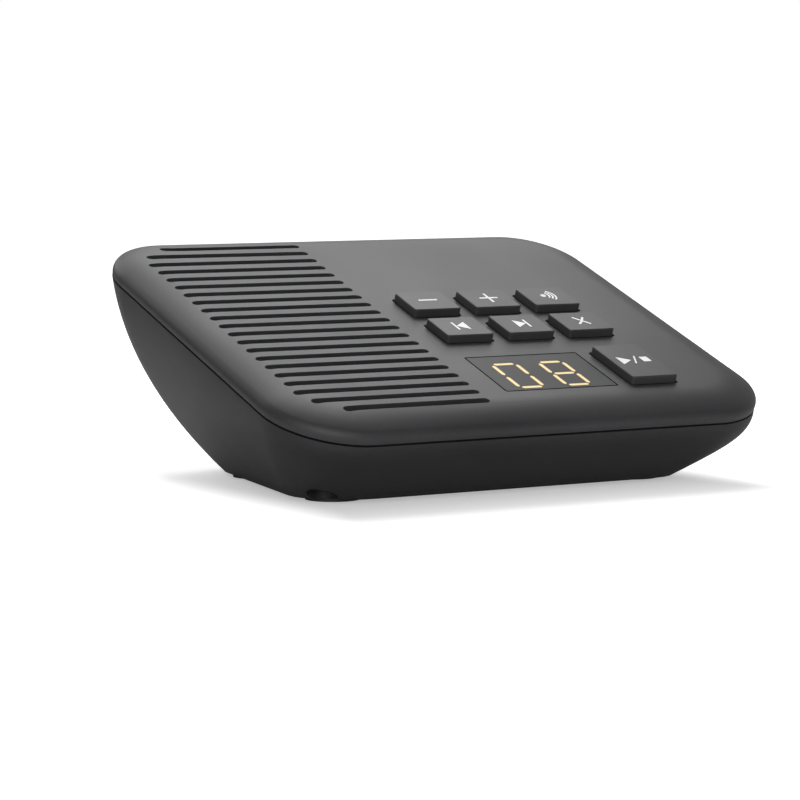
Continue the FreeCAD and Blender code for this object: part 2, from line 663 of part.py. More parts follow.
# Upright bosses that stand on the seats of the screw wells.
for i, (x, y) in enumerate(WELLS):
    boss = cover.newObject("PartDesign::AdditiveCylinder", "case_boss_%d" % (i + 1))
    bind(boss, "Radius", S("case_boss_radius"))
    under_z = MID_Z + (y - MID_Y) * SIN / COS + UNDER / COS
    # the flat end lies within the thickness of the sloping top
    rise = S("top_wall") / (COS * 2.0)
    bind(boss, "Height", under_z + rise - SEAT_TOP)
    lift_y, lift_z = y - MID_Y, SEAT_TOP - MID_Z
    spot_v = lift_y * COS + lift_z * SIN
    spot_n = lift_z * COS - lift_y * SIN
    boss.Placement = FreeCAD.Placement(
        FreeCAD.Vector(x.value, spot_v.value, spot_n.value),
        FreeCAD.Rotation(FreeCAD.Vector(-1, 0, 0), SIZE["tilt"]))
    bind(boss, "Placement.Base.x", x)
    bind(boss, "Placement.Base.y", spot_v)
    bind(boss, "Placement.Base.z", spot_n)
    bind(boss, "Placement.Rotation.Angle", S("tilt"))
    bore = cover.newObject("PartDesign::SubtractiveCylinder", "case_bore_%d" % (i + 1))
    bind(bore, "Radius", S("case_shank_radius") + S("screw_gap"))
    bind(bore, "Height", S("case_screw_length") - S("well_seat") + S("cut_clear"))
    bore.Placement = boss.Placement
    bind(bore, "Placement.Base.x", x)
    bind(bore, "Placement.Base.y", spot_v)
    bind(bore, "Placement.Base.z", spot_n)
    bind(bore, "Placement.Rotation.Angle", S("tilt"))

# Bores for the small screws.
draw = Draw(cover, "clamp_bore_outline", lift=UNDER + FLANGE_UNDER)
for u, v in CLAMPS:
    draw.circle(u, v, S("pilot_radius") + S("screw_gap"))
pocket(cover, "clamp_bores", draw, -FLANGE_UNDER, reverse=True)
draw = Draw(cover, "board_bore_outline", lift=BOARD_TOP)
for u, v in BOARD_SCREWS:
    draw.circle(u, v, S("pilot_radius") + S("screw_gap"))
pocket(cover, "board_bores", draw, UNDER - BOARD_TOP, reverse=True)

# The grille: full slots in a row, and two shorter ones at each end that follow the
# rounded corners of the grille's outline.
SLOT_DEPTH = S("top_wall") + S("slot_below")
LAST = S("rim_length") / 2.0 - S("grille_end")
SLOT_PITCH = LAST * 2.0 / (S("slot_count") - 1.0)
draw = Draw(cover, "slot_outline")
draw.stadium(SLOT_LEFT, SLOT_RIGHT, -LAST + SLOT_PITCH * 2.0, S("slot_width"))
slot = pocket(cover, "slot", draw, SLOT_DEPTH)
row = cover.newObject("PartDesign::LinearPattern", "slot_row")
row.Originals = [slot]
row.Direction = (draw.sk, ["V_Axis"])
bind(row, "Length", SLOT_PITCH * (S("slot_count") - 5.0))
bind(row, "Occurrences", S("slot_count") - 4.0)
cover.Tip = row
draw = Draw(cover, "short_slot_outline")
for place in (0, 1):
    depth = S("slot_width") / 2.0 + SLOT_PITCH * float(place)
    inside = S("grille_radius") - depth
    short = S("grille_radius") - root(S("grille_radius") * S("grille_radius")
                                      - inside * inside)
    for side in (1.0, -1.0):
        v = (LAST - SLOT_PITCH * float(place)) * side
        draw.stadium(SLOT_LEFT + short, SLOT_RIGHT, v, S("slot_width"))
pocket(cover, "short_slots", draw, SLOT_DEPTH)

# Openings for the keys and the window.
draw = Draw(cover, "key_opening_outline")
for name, u, v, depth in KEYS:
    draw.box(u, v, S("key_width") + S("key_gap") * 2.0, depth + S("key_gap") * 2.0,
             S("key_radius") + S("key_gap"))
pocket(cover, "key_openings", draw, S("top_wall") + S("rib_root"))
draw = Draw(cover, "window_seat_outline")
draw.box(WINDOW_U, S("window_row"), S("window_width") + S("window_gap") * 2.0,
         S("window_depth") + S("window_gap") * 2.0, S("window_gap") + S("window_radius"))
pocket(cover, "window_seat", draw, S("window_thick"))
draw = Draw(cover, "window_hole_outline")
draw.box(WINDOW_U, S("window_row"), S("window_width") - S("window_ledge") * 2.0,
         S("window_depth") - S("window_ledge") * 2.0)
last = pocket(cover, "window_hole", draw, S("top_wall") + S("rib_root"))
cover.Tip = last
node(cover)


# Lower shell: a bowl lofted between the parting edge, which slopes, and the base, which is
# level. The sections lie on planes fanned about the line where those two meet, and their
# corners follow a parabola that leaves the parting edge upright.
def bowl(inset, foot):
    tilt = math.radians(SIZE["tilt"])
    mid_y, mid_z = MID_Y.value, MID_Z.value
    low_n = -(SIZE["cover_depth"] + SIZE["parting_gap"])
    half = SIZE["rim_width"] / 2.0 - SIZE["edge_tuck"] - inset
    reach = SIZE["rim_length"] / 2.0 - SIZE["edge_tuck"] - inset
    radius = SIZE["rim_radius"] - SIZE["edge_tuck"] - inset

    def edge(v):
        return (mid_y + v * math.cos(tilt) - low_n * math.sin(tilt),
                mid_z + v * math.sin(tilt) + low_n * math.cos(tilt))

    front_y, front_z = edge(-reach)
    rear_y, rear_z = edge(reach)
    slope = math.tan(tilt)
    base_front = SIZE["base_front"] + inset
    base_rear = SIZE["base_rear"] - inset
    wires = []
    steps = 6
    for i in range(steps + 1):
        part = i / steps
        bend = part * part

        def mix(a, b, share=bend):
            return a + (b - a) * share

        corners = []
        rounds = []
        for half_base, y_top, y_base, r_base in (
                (SIZE["base_front_half"], front_y, base_front, SIZE["base_front_radius"]),
                (SIZE["base_rear_half"], rear_y, base_rear, SIZE["base_rear_radius"])):
            y = mix(y_top, y_base)
            z_top = front_z + (y - front_y) * slope
            z = foot + (1.0 - part) * (z_top - foot)
            x = mix(half, half_base - inset)
            corners.append((x, y, z))
            rounds.append(mix(radius, r_base - inset))
        (fx, fy, fz), (rx, ry, rz) = corners
        quad = [FreeCAD.Vector(fx, fy, fz), FreeCAD.Vector(rx, ry, rz),
                FreeCAD.Vector(-rx, ry, rz), FreeCAD.Vector(-fx, fy, fz)]
        wires.append(rounded(quad, [rounds[0], rounds[1], rounds[1], rounds[0]]))
    return Part.makeLoft(wires, True, False)


def rounded(quad, rounds):
    """A closed wire through four corners, each eased by an arc."""
    starts, ends, middles = [], [], []
    count = len(quad)
    for i in range(count):
        here = quad[i]
        back = (quad[i - 1] - here).normalize()
        ahead = (quad[(i + 1) % count] - here).normalize()
        angle = back.getAngle(ahead)
        cut = rounds[i] / math.tan(angle / 2.0)
        halfway = (back + ahead).normalize()
        centre = here + halfway * (rounds[i] / math.sin(angle / 2.0))
        starts.append(here + back * cut)
        ends.append(here + ahead * cut)
        middles.append(centre - halfway * rounds[i])
    edges = []
    for i in range(count):
        edges.append(Part.Arc(starts[i], middles[i], ends[i]).toShape())
        edges.append(Part.LineSegment(ends[i], starts[(i + 1) % count]).toShape())
    return Part.Wire(edges)


BASE = SIZE["foot_protrusion"]
shell_form = doc.addObject("Part::Feature", "shell_form")
shell_form.Shape = bowl(0.0, BASE)
shell_room = doc.addObject("Part::Feature", "shell_room")
shell_room.Shape = bowl(SIZE["shell_wall"], BASE + SIZE["floor_thick"])
# The walls of the screw wells end flush with the curved outside.
tubes = []
for i, (x, y) in enumerate(WELLS):
    tubes.append(rod("well_wall_%d" % (i + 1), upright, x, y, S("foot_protrusion"),
                     S("well_radius") + S("well_wall"), S("well_depth") + S("well_seat")))
tube_walls = doc.addObject("Part::MultiCommon", "well_walls")
tube_walls.Shapes = [join("well_tubes", *tubes), shell_form]
shell_blank = join("shell_blank", minus("shell_bowl", shell_form, shell_room), tube_walls)
doc.recompute()
shell = body("lower_shell")
shell.BaseFeature = shell_blank

# The tongue stands on the shell's edge, in the frame of the sloping face.
RIM_N = -(S("cover_depth") + S("parting_gap"))
lip_outer = S("edge_tuck") + S("skirt_wall") + S("lip_gap")


def sloping(owner, name, n):
    """A sketch in the sloping frame, on a body that stands square to the table."""
    made = Draw(owner, name)
    made.sk.AttachmentOffset = FreeCAD.Placement(
        FreeCAD.Vector(0, (MID_Y - n * SIN).value, (MID_Z + n * COS).value),
        FreeCAD.Rotation(FreeCAD.Vector(1, 0, 0), SIZE["tilt"]))
    bind(made.sk, "AttachmentOffset.Base.y", MID_Y - n * SIN)
    bind(made.sk, "AttachmentOffset.Base.z", MID_Z + n * COS)
    bind(made.sk, "AttachmentOffset.Rotation.Angle", S("tilt"))
    return made


draw = sloping(shell, "tongue_outline", RIM_N)
draw.box(0, 0, S("rim_width") - lip_outer * 2.0, S("rim_length") - lip_outer * 2.0,
         S("rim_radius") - lip_outer)
lip_inner = lip_outer + S("lip_wall")
draw.box(0, 0, S("rim_width") - lip_inner * 2.0, S("rim_length") - lip_inner * 2.0,
         S("rim_radius") - lip_inner)
pad(shell, "tongue", draw, S("lip_height"))

# Board posts, bores and seats of the screw wells, and foot recesses.
MAIN_HALF = S("base_rear_half") - S("main_side")
MAIN_FRONT = S("base_front") + S("main_front_edge")
MAIN_REAR = S("base_rear") - S("shell_wall") - S("main_rear_gap")
SCREW_X = MAIN_HALF - S("main_screw_side")
MAIN_SCREWS = [(SCREW_X, MAIN_FRONT + S("main_screw_front")),
               (-SCREW_X, MAIN_FRONT + S("main_screw_front")),
               (SCREW_X, MAIN_REAR - S("main_screw_rear")),
               (-SCREW_X, MAIN_REAR - S("main_screw_rear"))]
FLOOR = S("foot_protrusion") + S("floor_thick")
MAIN_FOOT = FLOOR + S("main_rise")
MAIN_TOP = MAIN_FOOT + S("board_thick")
draw = Draw(shell, "post_outline", lift=FLOOR - S("rib_root"))
for x, y in MAIN_SCREWS:
    draw.circle(x, y, S("boss_radius"))
pad(shell, "board_posts", draw, S("main_rise") + S("rib_root"))
draw = Draw(shell, "post_bore_outline", lift=MAIN_FOOT)
for x, y in MAIN_SCREWS:
    draw.circle(x, y, S("pilot_radius") + S("screw_gap"))
pocket(shell, "post_bores", draw, S("main_rise") + S("cut_clear"))
BELOW = S("foot_protrusion") - S("cut_clear")
draw = Draw(shell, "well_bore_outline", lift=BELOW)
for x, y in WELLS:
    draw.circle(x, y, S("well_radius"))
pocket(shell, "well_bores", draw, S("well_depth") + S("cut_clear"), reverse=True)
draw = Draw(shell, "well_seat_outline", lift=BELOW)
for x, y in WELLS:
    draw.circle(x, y, S("case_shank_radius") + S("screw_gap") * 2.0)
pocket(shell, "well_seats", draw, S("well_depth") + S("well_seat") + S("cut_clear") * 2.0,
       reverse=True)
FOOT_X = S("base_front_half") - S("foot_front_side")
FOOT_Y = S("base_front") + S("foot_front_edge")
REAR_FOOT_X = S("base_rear_half") - S("foot_rear_side")
REAR_FOOT_Y = S("base_rear") - S("foot_rear_edge")
FEET = [(FOOT_X, FOOT_Y), (-FOOT_X, FOOT_Y), (REAR_FOOT_X, REAR_FOOT_Y),
        (-REAR_FOOT_X, REAR_FOOT_Y)]
draw = Draw(shell, "foot_outline", lift=BELOW)
for x, y in FEET:
    draw.circle(x, y, S("foot_radius") + S("foot_gap"))
pocket(shell, "foot_recesses", draw, S("foot_recess") + S("cut_clear"), reverse=True)

# Openings in the rear wall for the two sockets, whose faces stand over the base's rear edge.
JACK_FACE = S("base_rear")
BEHIND = S("rim_length") / 2.0
draw = Draw(shell, "socket_outline", "XZ_Plane", lift=-BEHIND)
for x, width, height in ((S("line_x"), S("line_width"), S("line_height")),
                         (S("power_x"), S("power_width"), S("power_height"))):
    gap = S("socket_gap")
    draw.box(x, MAIN_TOP + height / 2.0, width + gap * 2.0, height + gap * 2.0)
last = pocket(shell, "socket_openings", draw, BEHIND - MAIN_REAR + S("shell_wall"), reverse=True)
shell.Tip = last
node(shell)


# Rubber feet and case screws.
feet = []
for i, (x, y) in enumerate(FEET):
    feet.append(rod("foot_%d" % (i + 1), upright, x, y, ZERO, S("foot_radius"),
                    S("foot_protrusion") + S("foot_recess")))
node(group("rubber_feet", feet))
screws = []
for i, (x, y) in enumerate(WELLS):
    seat = S("foot_protrusion") + S("well_depth")
    head = rod("case_head_%d" % (i + 1), upright, x, y, seat - S("case_head_thick"),
               S("case_head_radius"), S("case_head_thick"))
    shank = rod("case_shank_%d" % (i + 1), upright, x, y, seat - S("case_head_thick") / 2.0,
                S("case_shank_radius"), S("case_screw_length") + S("case_head_thick") / 2.0)
    screws.append(join("case_screw_%d" % (i + 1), head, shank))
node(group("case_screws", screws))


# Keys: a cap that stands proud, a flange under the cover and a tubular plunger over the dome.
plunger_inner = S("dome_width") / 2.0 + S("dome_gap")
for name, u, v, depth in KEYS:
    key = tilted(body(name), u, v)
    draw = Draw(key, name + "_cap_outline", lift=FLANGE_TOP)
    draw.box(0, 0, S("key_width"), depth, S("key_radius"))
    cap = pad(key, name + "_cap", draw, S("key_proud") - FLANGE_TOP)
    doc.recompute()
    top = []
    for i, face in enumerate(cap.Shape.Faces, start=1):
        if abs(face.CenterOfMass.z - SIZE["key_proud"]) < 0.001:
            top.append("Face%d" % i)
    soft = key.newObject("PartDesign::Fillet", name + "_soft_edge")
    soft.Base = (cap, top)
    bind(soft, "Radius", S("key_softness"))
    draw = Draw(key, name + "_flange_outline", lift=FLANGE_FOOT)
    draw.box(0, 0, S("key_width") + S("flange_reach") * 2.0, depth + S("flange_reach") * 2.0,
             S("key_radius"))
    pad(key, name + "_flange", draw, S("flange_thick"))
    draw = Draw(key, name + "_plunger_outline", lift=PLUNGER_FOOT)
    draw.circle(0, 0, plunger_inner + S("plunger_wall"))
    pad(key, name + "_plunger", draw, FLANGE_FOOT - PLUNGER_FOOT)
    draw = Draw(key, name + "_bore_outline", lift=PLUNGER_FOOT)
    draw.circle(0, 0, plunger_inner)
    # at full travel the bore's end comes down to the key gap above the dome
    last = pocket(key, name + "_bore", draw, S("dome_height"), reverse=True)
    key.Tip = last
    node(key)


# Key mat: a rubber sheet with a dome under each key.
mat = tilted(body("key_mat"))
mat_left = COLUMNS[0] - S("dome_width")
mat_right = COLUMNS[2] + S("key_width") / 2.0 - S("mat_inset")
mat_rear = REAR_ROW + S("key_depth") / 2.0
mat_step = FRONT_ROW - S("key_depth") / 2.0
mat_inner = COLUMNS[2] - S("key_width") / 2.0 + S("mat_inset")
mat_front = S("play_row") - S("play_depth") / 2.0 + S("mat_inset")
draw = Draw(mat, "mat_outline", lift=BOARD_TOP)
draw.polygon([(mat_left, mat_step), (mat_inner, mat_step), (mat_inner, mat_front),
              (mat_right, mat_front), (mat_right, mat_rear), (mat_left, mat_rear)])
pad(mat, "mat_sheet", draw, S("mat_thick"))
draw = Draw(mat, "dome_outline", lift=MAT_TOP - S("mat_thick") / 2.0)
for name, u, v, depth in KEYS:
    draw.circle(u, v, S("dome_width") / 2.0)
domes = pad(mat, "domes", draw, S("dome_height") + S("mat_thick") / 2.0,
            taper=-S("dome_taper"))
mat.Tip = domes
node(mat)

# Key board, with its notches for the speaker and the corner boss.
key_board = tilted(body("key_board"))
draw = Draw(key_board, "key_board_outline", lift=BOARD_FOOT)
notch_left = WELL_X - S("case_boss_radius") - S("corner_gap")
draw.polygon([(BOARD_LEFT, S("board_front")), (notch_left, S("board_front")),
              (notch_left, S("notch_rear")), (S("board_right"), S("notch_rear")),
              (S("board_right"), S("board_rear")), (BOARD_LEFT, S("board_rear"))])
pad(key_board, "key_board_plate", draw, S("board_thick"))
draw = Draw(key_board, "speaker_notch_outline", lift=BOARD_FOOT)
draw.circle(SPEAKER_U, 0, CLAMP_REACH + S("small_head_radius") + S("notch_gap"))
pocket(key_board, "speaker_notch", draw, S("board_thick"), reverse=True)
draw = Draw(key_board, "key_board_hole_outline", lift=BOARD_FOOT)
for u, v in BOARD_SCREWS:
    draw.circle(u, v, S("pilot_radius") + S("screw_gap") * 2.0)
last = pocket(key_board, "key_board_holes", draw, S("board_thick"), reverse=True)
key_board.Tip = last
node(key_board)


def small_screws(label, place, spots, seat, length):
    made = []
    for i, (x, y) in enumerate(spots):
        head = rod("%s_head_%d" % (label, i + 1), place, x, y,
                   seat - S("small_head_thick"), S("small_head_radius"),
                   S("small_head_thick"))
        shank = rod("%s_shank_%d" % (label, i + 1), place, x, y,
                    seat - S("small_head_thick") / 2.0, S("pilot_radius"),
                    length + S("small_head_thick") / 2.0)
        made.append(join("%s_%d" % (label, i + 1), head, shank))
    return node(group(label, made))


small_screws("key_board_screws", tilted, BOARD_SCREWS, BOARD_FOOT, S("small_screw_length"))

# Display: window, lit bars let into it and the module behind.
BARS = ["abcdef", "abcdefg"]


def bars(draw, grow):
    half_w, half_h = S("digit_width") / 2.0, S("digit_height") / 2.0
    thick = S("bar_width") / 2.0 + grow
    gap = S("bar_gap") - grow
    for spot, names in enumerate(BARS):
        u = S("digit_first") + S("digit_pitch") * float(spot)
        v = S("digit_row")
        left, right = u - half_w, u + half_w
        for letter in names:
            if letter in "ad":
                side = 1.0 if letter == "a" else -1.0
                y = v + half_h * side
                points = [(left - thick + gap, y + thick * side),
                          (right + thick - gap, y + thick * side),
                          (right - thick - gap, y - thick * side),
                          (left + thick + gap, y - thick * side)]
            elif letter == "g":
                points = [(left + thick + gap, v + thick), (right - thick - gap, v + thick),
                          (right - thick - gap, v - thick), (left + thick + gap, v - thick)]
            else:
                side = 1.0 if letter in "bc" else -1.0
                way = 1.0 if letter in "bf" else -1.0
                x = u + half_w * side
                far = v + half_h * way
                near = v + (thick + gap) * way
                points = [(x + thick * side, far + (thick - gap) * way),
                          (x - thick * side, far - (thick + gap) * way),
                          (x - thick * side, near), (x + thick * side, near)]
            draw.polygon(points)


window = tilted(body("display_window"))
draw = Draw(window, "window_outline", lift=-S("window_thick"))
draw.box(WINDOW_U, S("window_row"), S("window_width"), S("window_depth"), S("window_radius"))
pad(window, "window_plate", draw, S("window_thick"))
draw = Draw(window, "bar_seat_outline")
bars(draw, S("bar_fit"))
last = pocket(window, "bar_seats", draw, S("bar_depth"))
window.Tip = last
node(window)

bar_sketch = Draw(None, "bar_outline")
bars(bar_sketch, ZERO)
tilted(bar_sketch.sk, 0, 0, -S("bar_depth"))
lit = doc.addObject("Part::Extrusion", "display_digits")
lit.Base = bar_sketch.sk
lit.DirMode = "Normal"
bind(lit, "LengthFwd", S("bar_depth"))
lit.Solid = True
node(lit, "display_digits")

module_top = UNDER - S("module_gap")
module = block("display_module", tilted, S("digit_first") + S("digit_pitch") / 2.0,
               S("digit_row"), BOARD_TOP, S("module_width"), S("module_depth"),
               module_top - BOARD_TOP)
node(module, "display_module")


# Speaker, turned about its own axis. Its profiles are drawn from the underside of the top.
def spun(label, points):
    made = tilted(body(label), SPEAKER_U, 0, UNDER)
    drawn = Draw(made, label + "_profile", "XZ_Plane")
    drawn.polygon(points)
    made.Tip = turned(made, label + "_turn", drawn)
    return node(made)


R = S("speaker_radius")
HUB = S("magnet_radius") + S("magnet_edge")
BACK = FLANGE_UNDER - S("basket_depth")
COIL_IN = S("pole_radius") + S("coil_gap")
COIL_OUT = COIL_IN + S("coil_wall")
BASKET_IN = R - S("basket_flange") - S("basket_wall")
CONE_RIM = BASKET_IN - S("roll_width")
CONE_NECK = FLANGE_UNDER - S("neck_depth")
spun("speaker_cloth", [(ZERO, ZERO), (ZERO, CLOTH_FOOT), (R, CLOTH_FOOT), (R, ZERO)])
gasket_in = R - S("gasket_width")
spun("speaker_gasket", [(gasket_in, CLOTH_FOOT), (gasket_in, GASKET_FOOT), (R, GASKET_FOOT),
                        (R, CLOTH_FOOT)])
wall = S("basket_wall")
plate_bore = COIL_OUT + S("coil_gap")
spun("speaker_basket", [
    (R, GASKET_FOOT), (BASKET_IN, GASKET_FOOT), (BASKET_IN, FLANGE_UNDER - wall),
    (HUB - wall, BACK), (plate_bore, BACK), (plate_bore, BACK - wall), (HUB, BACK - wall),
    (BASKET_IN + wall, FLANGE_UNDER - wall), (BASKET_IN + wall, FLANGE_UNDER),
    (R, FLANGE_UNDER)])
magnet_top = BACK - wall
magnet_foot = magnet_top - S("magnet_thick")
magnet_bore = COIL_OUT + S("magnet_bore_gap")
spun("speaker_magnet", [(magnet_bore, magnet_top), (magnet_bore, magnet_foot),
                        (S("magnet_radius"), magnet_foot), (S("magnet_radius"), magnet_top)])
yoke_foot = magnet_foot - S("yoke_thick")
yoke_radius = S("magnet_radius") - S("magnet_edge")
spun("speaker_yoke", [(ZERO, BACK), (ZERO, yoke_foot), (yoke_radius, yoke_foot),
                      (yoke_radius, magnet_foot), (S("pole_radius"), magnet_foot),
                      (S("pole_radius"), BACK)])
thin = S("cone_wall")
spun("speaker_cone", [
    (CONE_RIM, GASKET_FOOT), (CONE_RIM, GASKET_FOOT - thin), (COIL_OUT, CONE_NECK - thin),
    (COIL_IN, CONE_NECK - thin), (COIL_IN, CONE_NECK), (COIL_OUT, CONE_NECK)])
coil_foot = BACK - wall - S("coil_reach")
spun("speaker_coil", [(COIL_IN, CONE_NECK - thin), (COIL_IN, coil_foot),
                      (COIL_OUT, coil_foot), (COIL_OUT, CONE_NECK - thin)])
roll_top = GASKET_FOOT + S("roll_rise")
roll_foot = GASKET_FOOT - thin
flat, slope = S("roll_flat"), S("roll_slope")
upper = flat - S("roll_shift")
spun("speaker_surround", [
    (CONE_RIM, GASKET_FOOT), (CONE_RIM, roll_foot), (CONE_RIM + flat, roll_foot),
    (CONE_RIM + flat + slope, GASKET_FOOT), (BASKET_IN - flat - slope, GASKET_FOOT),
    (BASKET_IN - flat, roll_foot), (BASKET_IN, roll_foot), (BASKET_IN, GASKET_FOOT),
    (BASKET_IN - upper, GASKET_FOOT), (BASKET_IN - upper - slope, roll_top),
    (CONE_RIM + upper + slope, roll_top), (CONE_RIM + upper, GASKET_FOOT)])
# The dust cap is a low dome in two flats, which stands on the cone.
cap_r = COIL_OUT + S("cap_beyond")
cap_z = CONE_NECK + (GASKET_FOOT - CONE_NECK) * S("cap_beyond") / (CONE_RIM - COIL_OUT)
cap_top = cap_z + S("cap_rise")
cap_bend = cap_r - S("cap_rise") * 1.5
spun("speaker_dust_cap", [
    (ZERO, cap_top), (ZERO, cap_top - S("cap_wall")),
    (cap_bend, cap_top - S("cap_wall") * 2.2), (cap_r - S("cap_wall") * 1.4, cap_z),
    (cap_r, cap_z), (cap_bend + S("cap_wall"), cap_top - S("cap_wall") * 1.2)])

washers = []
for i, (u, v) in enumerate(CLAMPS):
    disc = rod("washer_disc_%d" % (i + 1), tilted, u, v, UNDER + FLANGE_UNDER
               - S("washer_thick"), S("washer_radius"), S("washer_thick"))
    eye = rod("washer_eye_%d" % (i + 1), tilted, u, v, UNDER + FLANGE_UNDER
              - S("washer_thick") - S("cut_clear"), S("pilot_radius") + S("screw_gap"),
              S("washer_thick") + S("cut_clear") * 2.0)
    washers.append(minus("washer_%d" % (i + 1), disc, eye))
node(group("speaker_washers", washers))
small_screws("speaker_screws", tilted, CLAMPS, UNDER + FLANGE_UNDER - S("washer_thick"),
             S("washer_thick") - FLANGE_UNDER - S("screw_end_gap"))

# Microphone in its rubber boot, behind the grille.
boot = tilted(body("microphone_boot"), MIC_U, S("mic_v"), UNDER)
boot_r = S("mic_radius") + S("boot_wall")
lip_r = S("mic_radius") - S("boot_lip")
mic_foot = -S("mic_gap") - S("mic_height")
boot_foot = mic_foot - S("boot_floor")
draw = Draw(boot, "boot_profile", "XZ_Plane")
draw.polygon([(S("mic_radius"), ZERO), (S("mic_radius"), mic_foot), (lip_r, mic_foot),
              (lip_r, boot_foot), (boot_r, boot_foot), (boot_r, ZERO)])
boot.Tip = turned(boot, "boot_turn", draw)
node(boot)
node(rod("microphone", tilted, MIC_U, S("mic_v"), UNDER + mic_foot, S("mic_radius"),
         S("mic_height")), "microphone")


# Main board and what stands on it.
main_board = upright(body("main_board"), 0, 0, MAIN_FOOT)
draw = Draw(main_board, "main_board_outline")
draw.box(0, (MAIN_FRONT + MAIN_REAR) / 2.0, MAIN_HALF * 2.0, MAIN_REAR - MAIN_FRONT,
         S("main_radius"))
pad(main_board, "main_board_plate", draw, S("board_thick"))
draw = Draw(main_board, "main_board_hole_outline")
for x, y in MAIN_SCREWS:
    draw.circle(x, y, S("pilot_radius") + S("screw_gap") * 2.0)
last = pocket(main_board, "main_board_holes", draw, S("board_thick"), reverse=True)
main_board.Tip = last
node(main_board)
screws = []
for i, (x, y) in enumerate(MAIN_SCREWS):
    head = rod("main_head_%d" % (i + 1), upright, x, y, MAIN_TOP, S("small_head_radius"),
               S("small_head_thick"))
    reach = S("main_rise") + S("board_thick")
    shank = rod("main_shank_%d" % (i + 1), upright, x, y, MAIN_TOP - reach,
                S("pilot_radius"), reach + S("small_head_thick") / 2.0)
    screws.append(join("main_screw_%d" % (i + 1), head, shank))
node(group("main_board_screws", screws))
node(block("processor_chip", upright, S("processor_x"), S("processor_y"), MAIN_TOP,
           S("processor_side"), S("processor_side"), S("processor_thick")), "processor_chip")
node(block("memory_chip", upright, S("memory_x"), S("memory_y"), MAIN_TOP,
           S("memory_width"), S("memory_depth"), S("memory_thick")), "memory_chip")
node(block("line_transformer", upright, S("line_x") - S("transformer_side"),
           S("transformer_y"), MAIN_TOP, S("transformer_width"), S("transformer_depth"),
           S("transformer_height")), "line_transformer")
cans = []
for i, (x, y) in enumerate(((MAIN_HALF - S("can_side"), S("can_rear_y")),
                            (MAIN_HALF - S("can_side"), S("can_front_y")),
                            (S("line_x") + S("can_line_x"), S("can_line_y")))):
    cans.append(rod("capacitor_%d" % (i + 1), upright, x, y, MAIN_TOP, S("can_radius"),
                    S("can_height")))
node(group("capacitors", cans))

# Line socket: a box with a mouth, a latch notch and four sprung contacts.
line = upright(body("line_socket"), S("line_x"), JACK_FACE, MAIN_TOP)
draw = Draw(line, "line_outline")
draw.box(0, -S("line_length") / 2.0, S("line_width"), S("line_length"))
pad(line, "line_block", draw, S("line_height"))
mouth_z = S("line_height") / 2.0 + S("line_bore_rise")
draw = Draw(line, "line_mouth_outline", "XZ_Plane")
draw.box(0, mouth_z, S("line_bore_width"), S("line_bore_height"))
pocket(line, "line_mouth", draw, S("line_bore_depth"), reverse=True)
draw = Draw(line, "latch_outline", "XZ_Plane")
latch_foot = mouth_z - S("line_bore_height") / 2.0 - S("latch_height")
draw.box(0, (mouth_z + latch_foot) / 2.0, S("latch_width"), mouth_z - latch_foot)
last = pocket(line, "latch_notch", draw, S("latch_depth"), reverse=True)
line.Tip = last
node(line)
wires = []
top_z = MAIN_TOP + mouth_z + S("line_bore_height") / 2.0
wire_length = S("line_bore_depth") - S("contact_inset")
wire_y = JACK_FACE - S("contact_inset") - wire_length / 2.0
for i, step in enumerate((-1.5, -0.5, 0.5, 1.5)):
    x = S("line_x") + S("contact_pitch") * step
    wires.append(block("contact_%d" % (i + 1), upright, x, wire_y, top_z - S("contact_width"),
                       S("contact_width"), wire_length, S("contact_width")))
node(group("line_contacts", wires))

# Power socket: a round bore about a centre pin.
power = upright(body("power_socket"), S("power_x"), JACK_FACE, MAIN_TOP)
draw = Draw(power, "power_outline")
draw.box(0, -S("power_length") / 2.0, S("power_width"), S("power_length"))
pad(power, "power_block", draw, S("power_height"))
draw = Draw(power, "power_bore_outline", "XZ_Plane")
draw.circle(0, S("power_height") / 2.0, S("power_bore_radius"))
last = pocket(power, "power_bore", draw, S("power_bore_depth"), reverse=True)
power.Tip = last
node(power)
pin = upright(body("power_pin"), S("power_x"), JACK_FACE, MAIN_TOP)
draw = Draw(pin, "pin_outline", "XZ_Plane", lift=S("power_bore_depth"))
draw.circle(0, S("power_height") / 2.0, S("power_pin_radius"))
pin.Tip = pad(pin, "pin_rod", draw, S("power_bore_depth") - S("power_pin_inset"), reverse=True)
node(pin)

# Flat lead between the boards, with a connector at each end.
low_y = MID_Y + S("lead_v") * COS - BOARD_FOOT * SIN
high_z = MID_Z + S("lead_v") * SIN + BOARD_FOOT * COS
node(block("key_board_plug", tilted, S("lead_x"), S("lead_v"), BOARD_FOOT - S("plug_height"),
           S("plug_width"), S("plug_depth"), S("plug_height")), "key_board_plug")
start_y = low_y + S("plug_height") * SIN
start_z = high_z - S("plug_height") * COS
bend_y = start_y + S("lead_run") * SIN
bend_z = start_z - S("lead_run") * COS
centre_y = bend_y - S("lead_bend") * COS
centre_z = bend_z - S("lead_bend") * SIN
end_y = centre_y + S("lead_bend")
main_plug_top = MAIN_TOP + S("plug_height")
half = S("lead_thick") / 2.0
lead = body("board_lead")
upright(lead, S("lead_x") - S("lead_width") / 2.0)
draw = Draw(lead, "lead_outline", "YZ_Plane")
inner_r, outer_r = S("lead_bend") - half, S("lead_bend") + half
pts = [
    (start_y + half * COS, start_z + half * SIN), (start_y - half * COS, start_z - half * SIN),
    (centre_y + inner_r * COS, centre_z + inner_r * SIN), (centre_y + inner_r, centre_z),
    (end_y - half, main_plug_top), (end_y + half, main_plug_top),
    (centre_y + outer_r, centre_z), (centre_y + outer_r * COS, centre_z + outer_r * SIN)]
vecs = [FreeCAD.Vector(x.value, y.value, 0) for x, y in pts]
kinds = ["line", "line", "arc", "line", "line", "line", "arc", "line"]
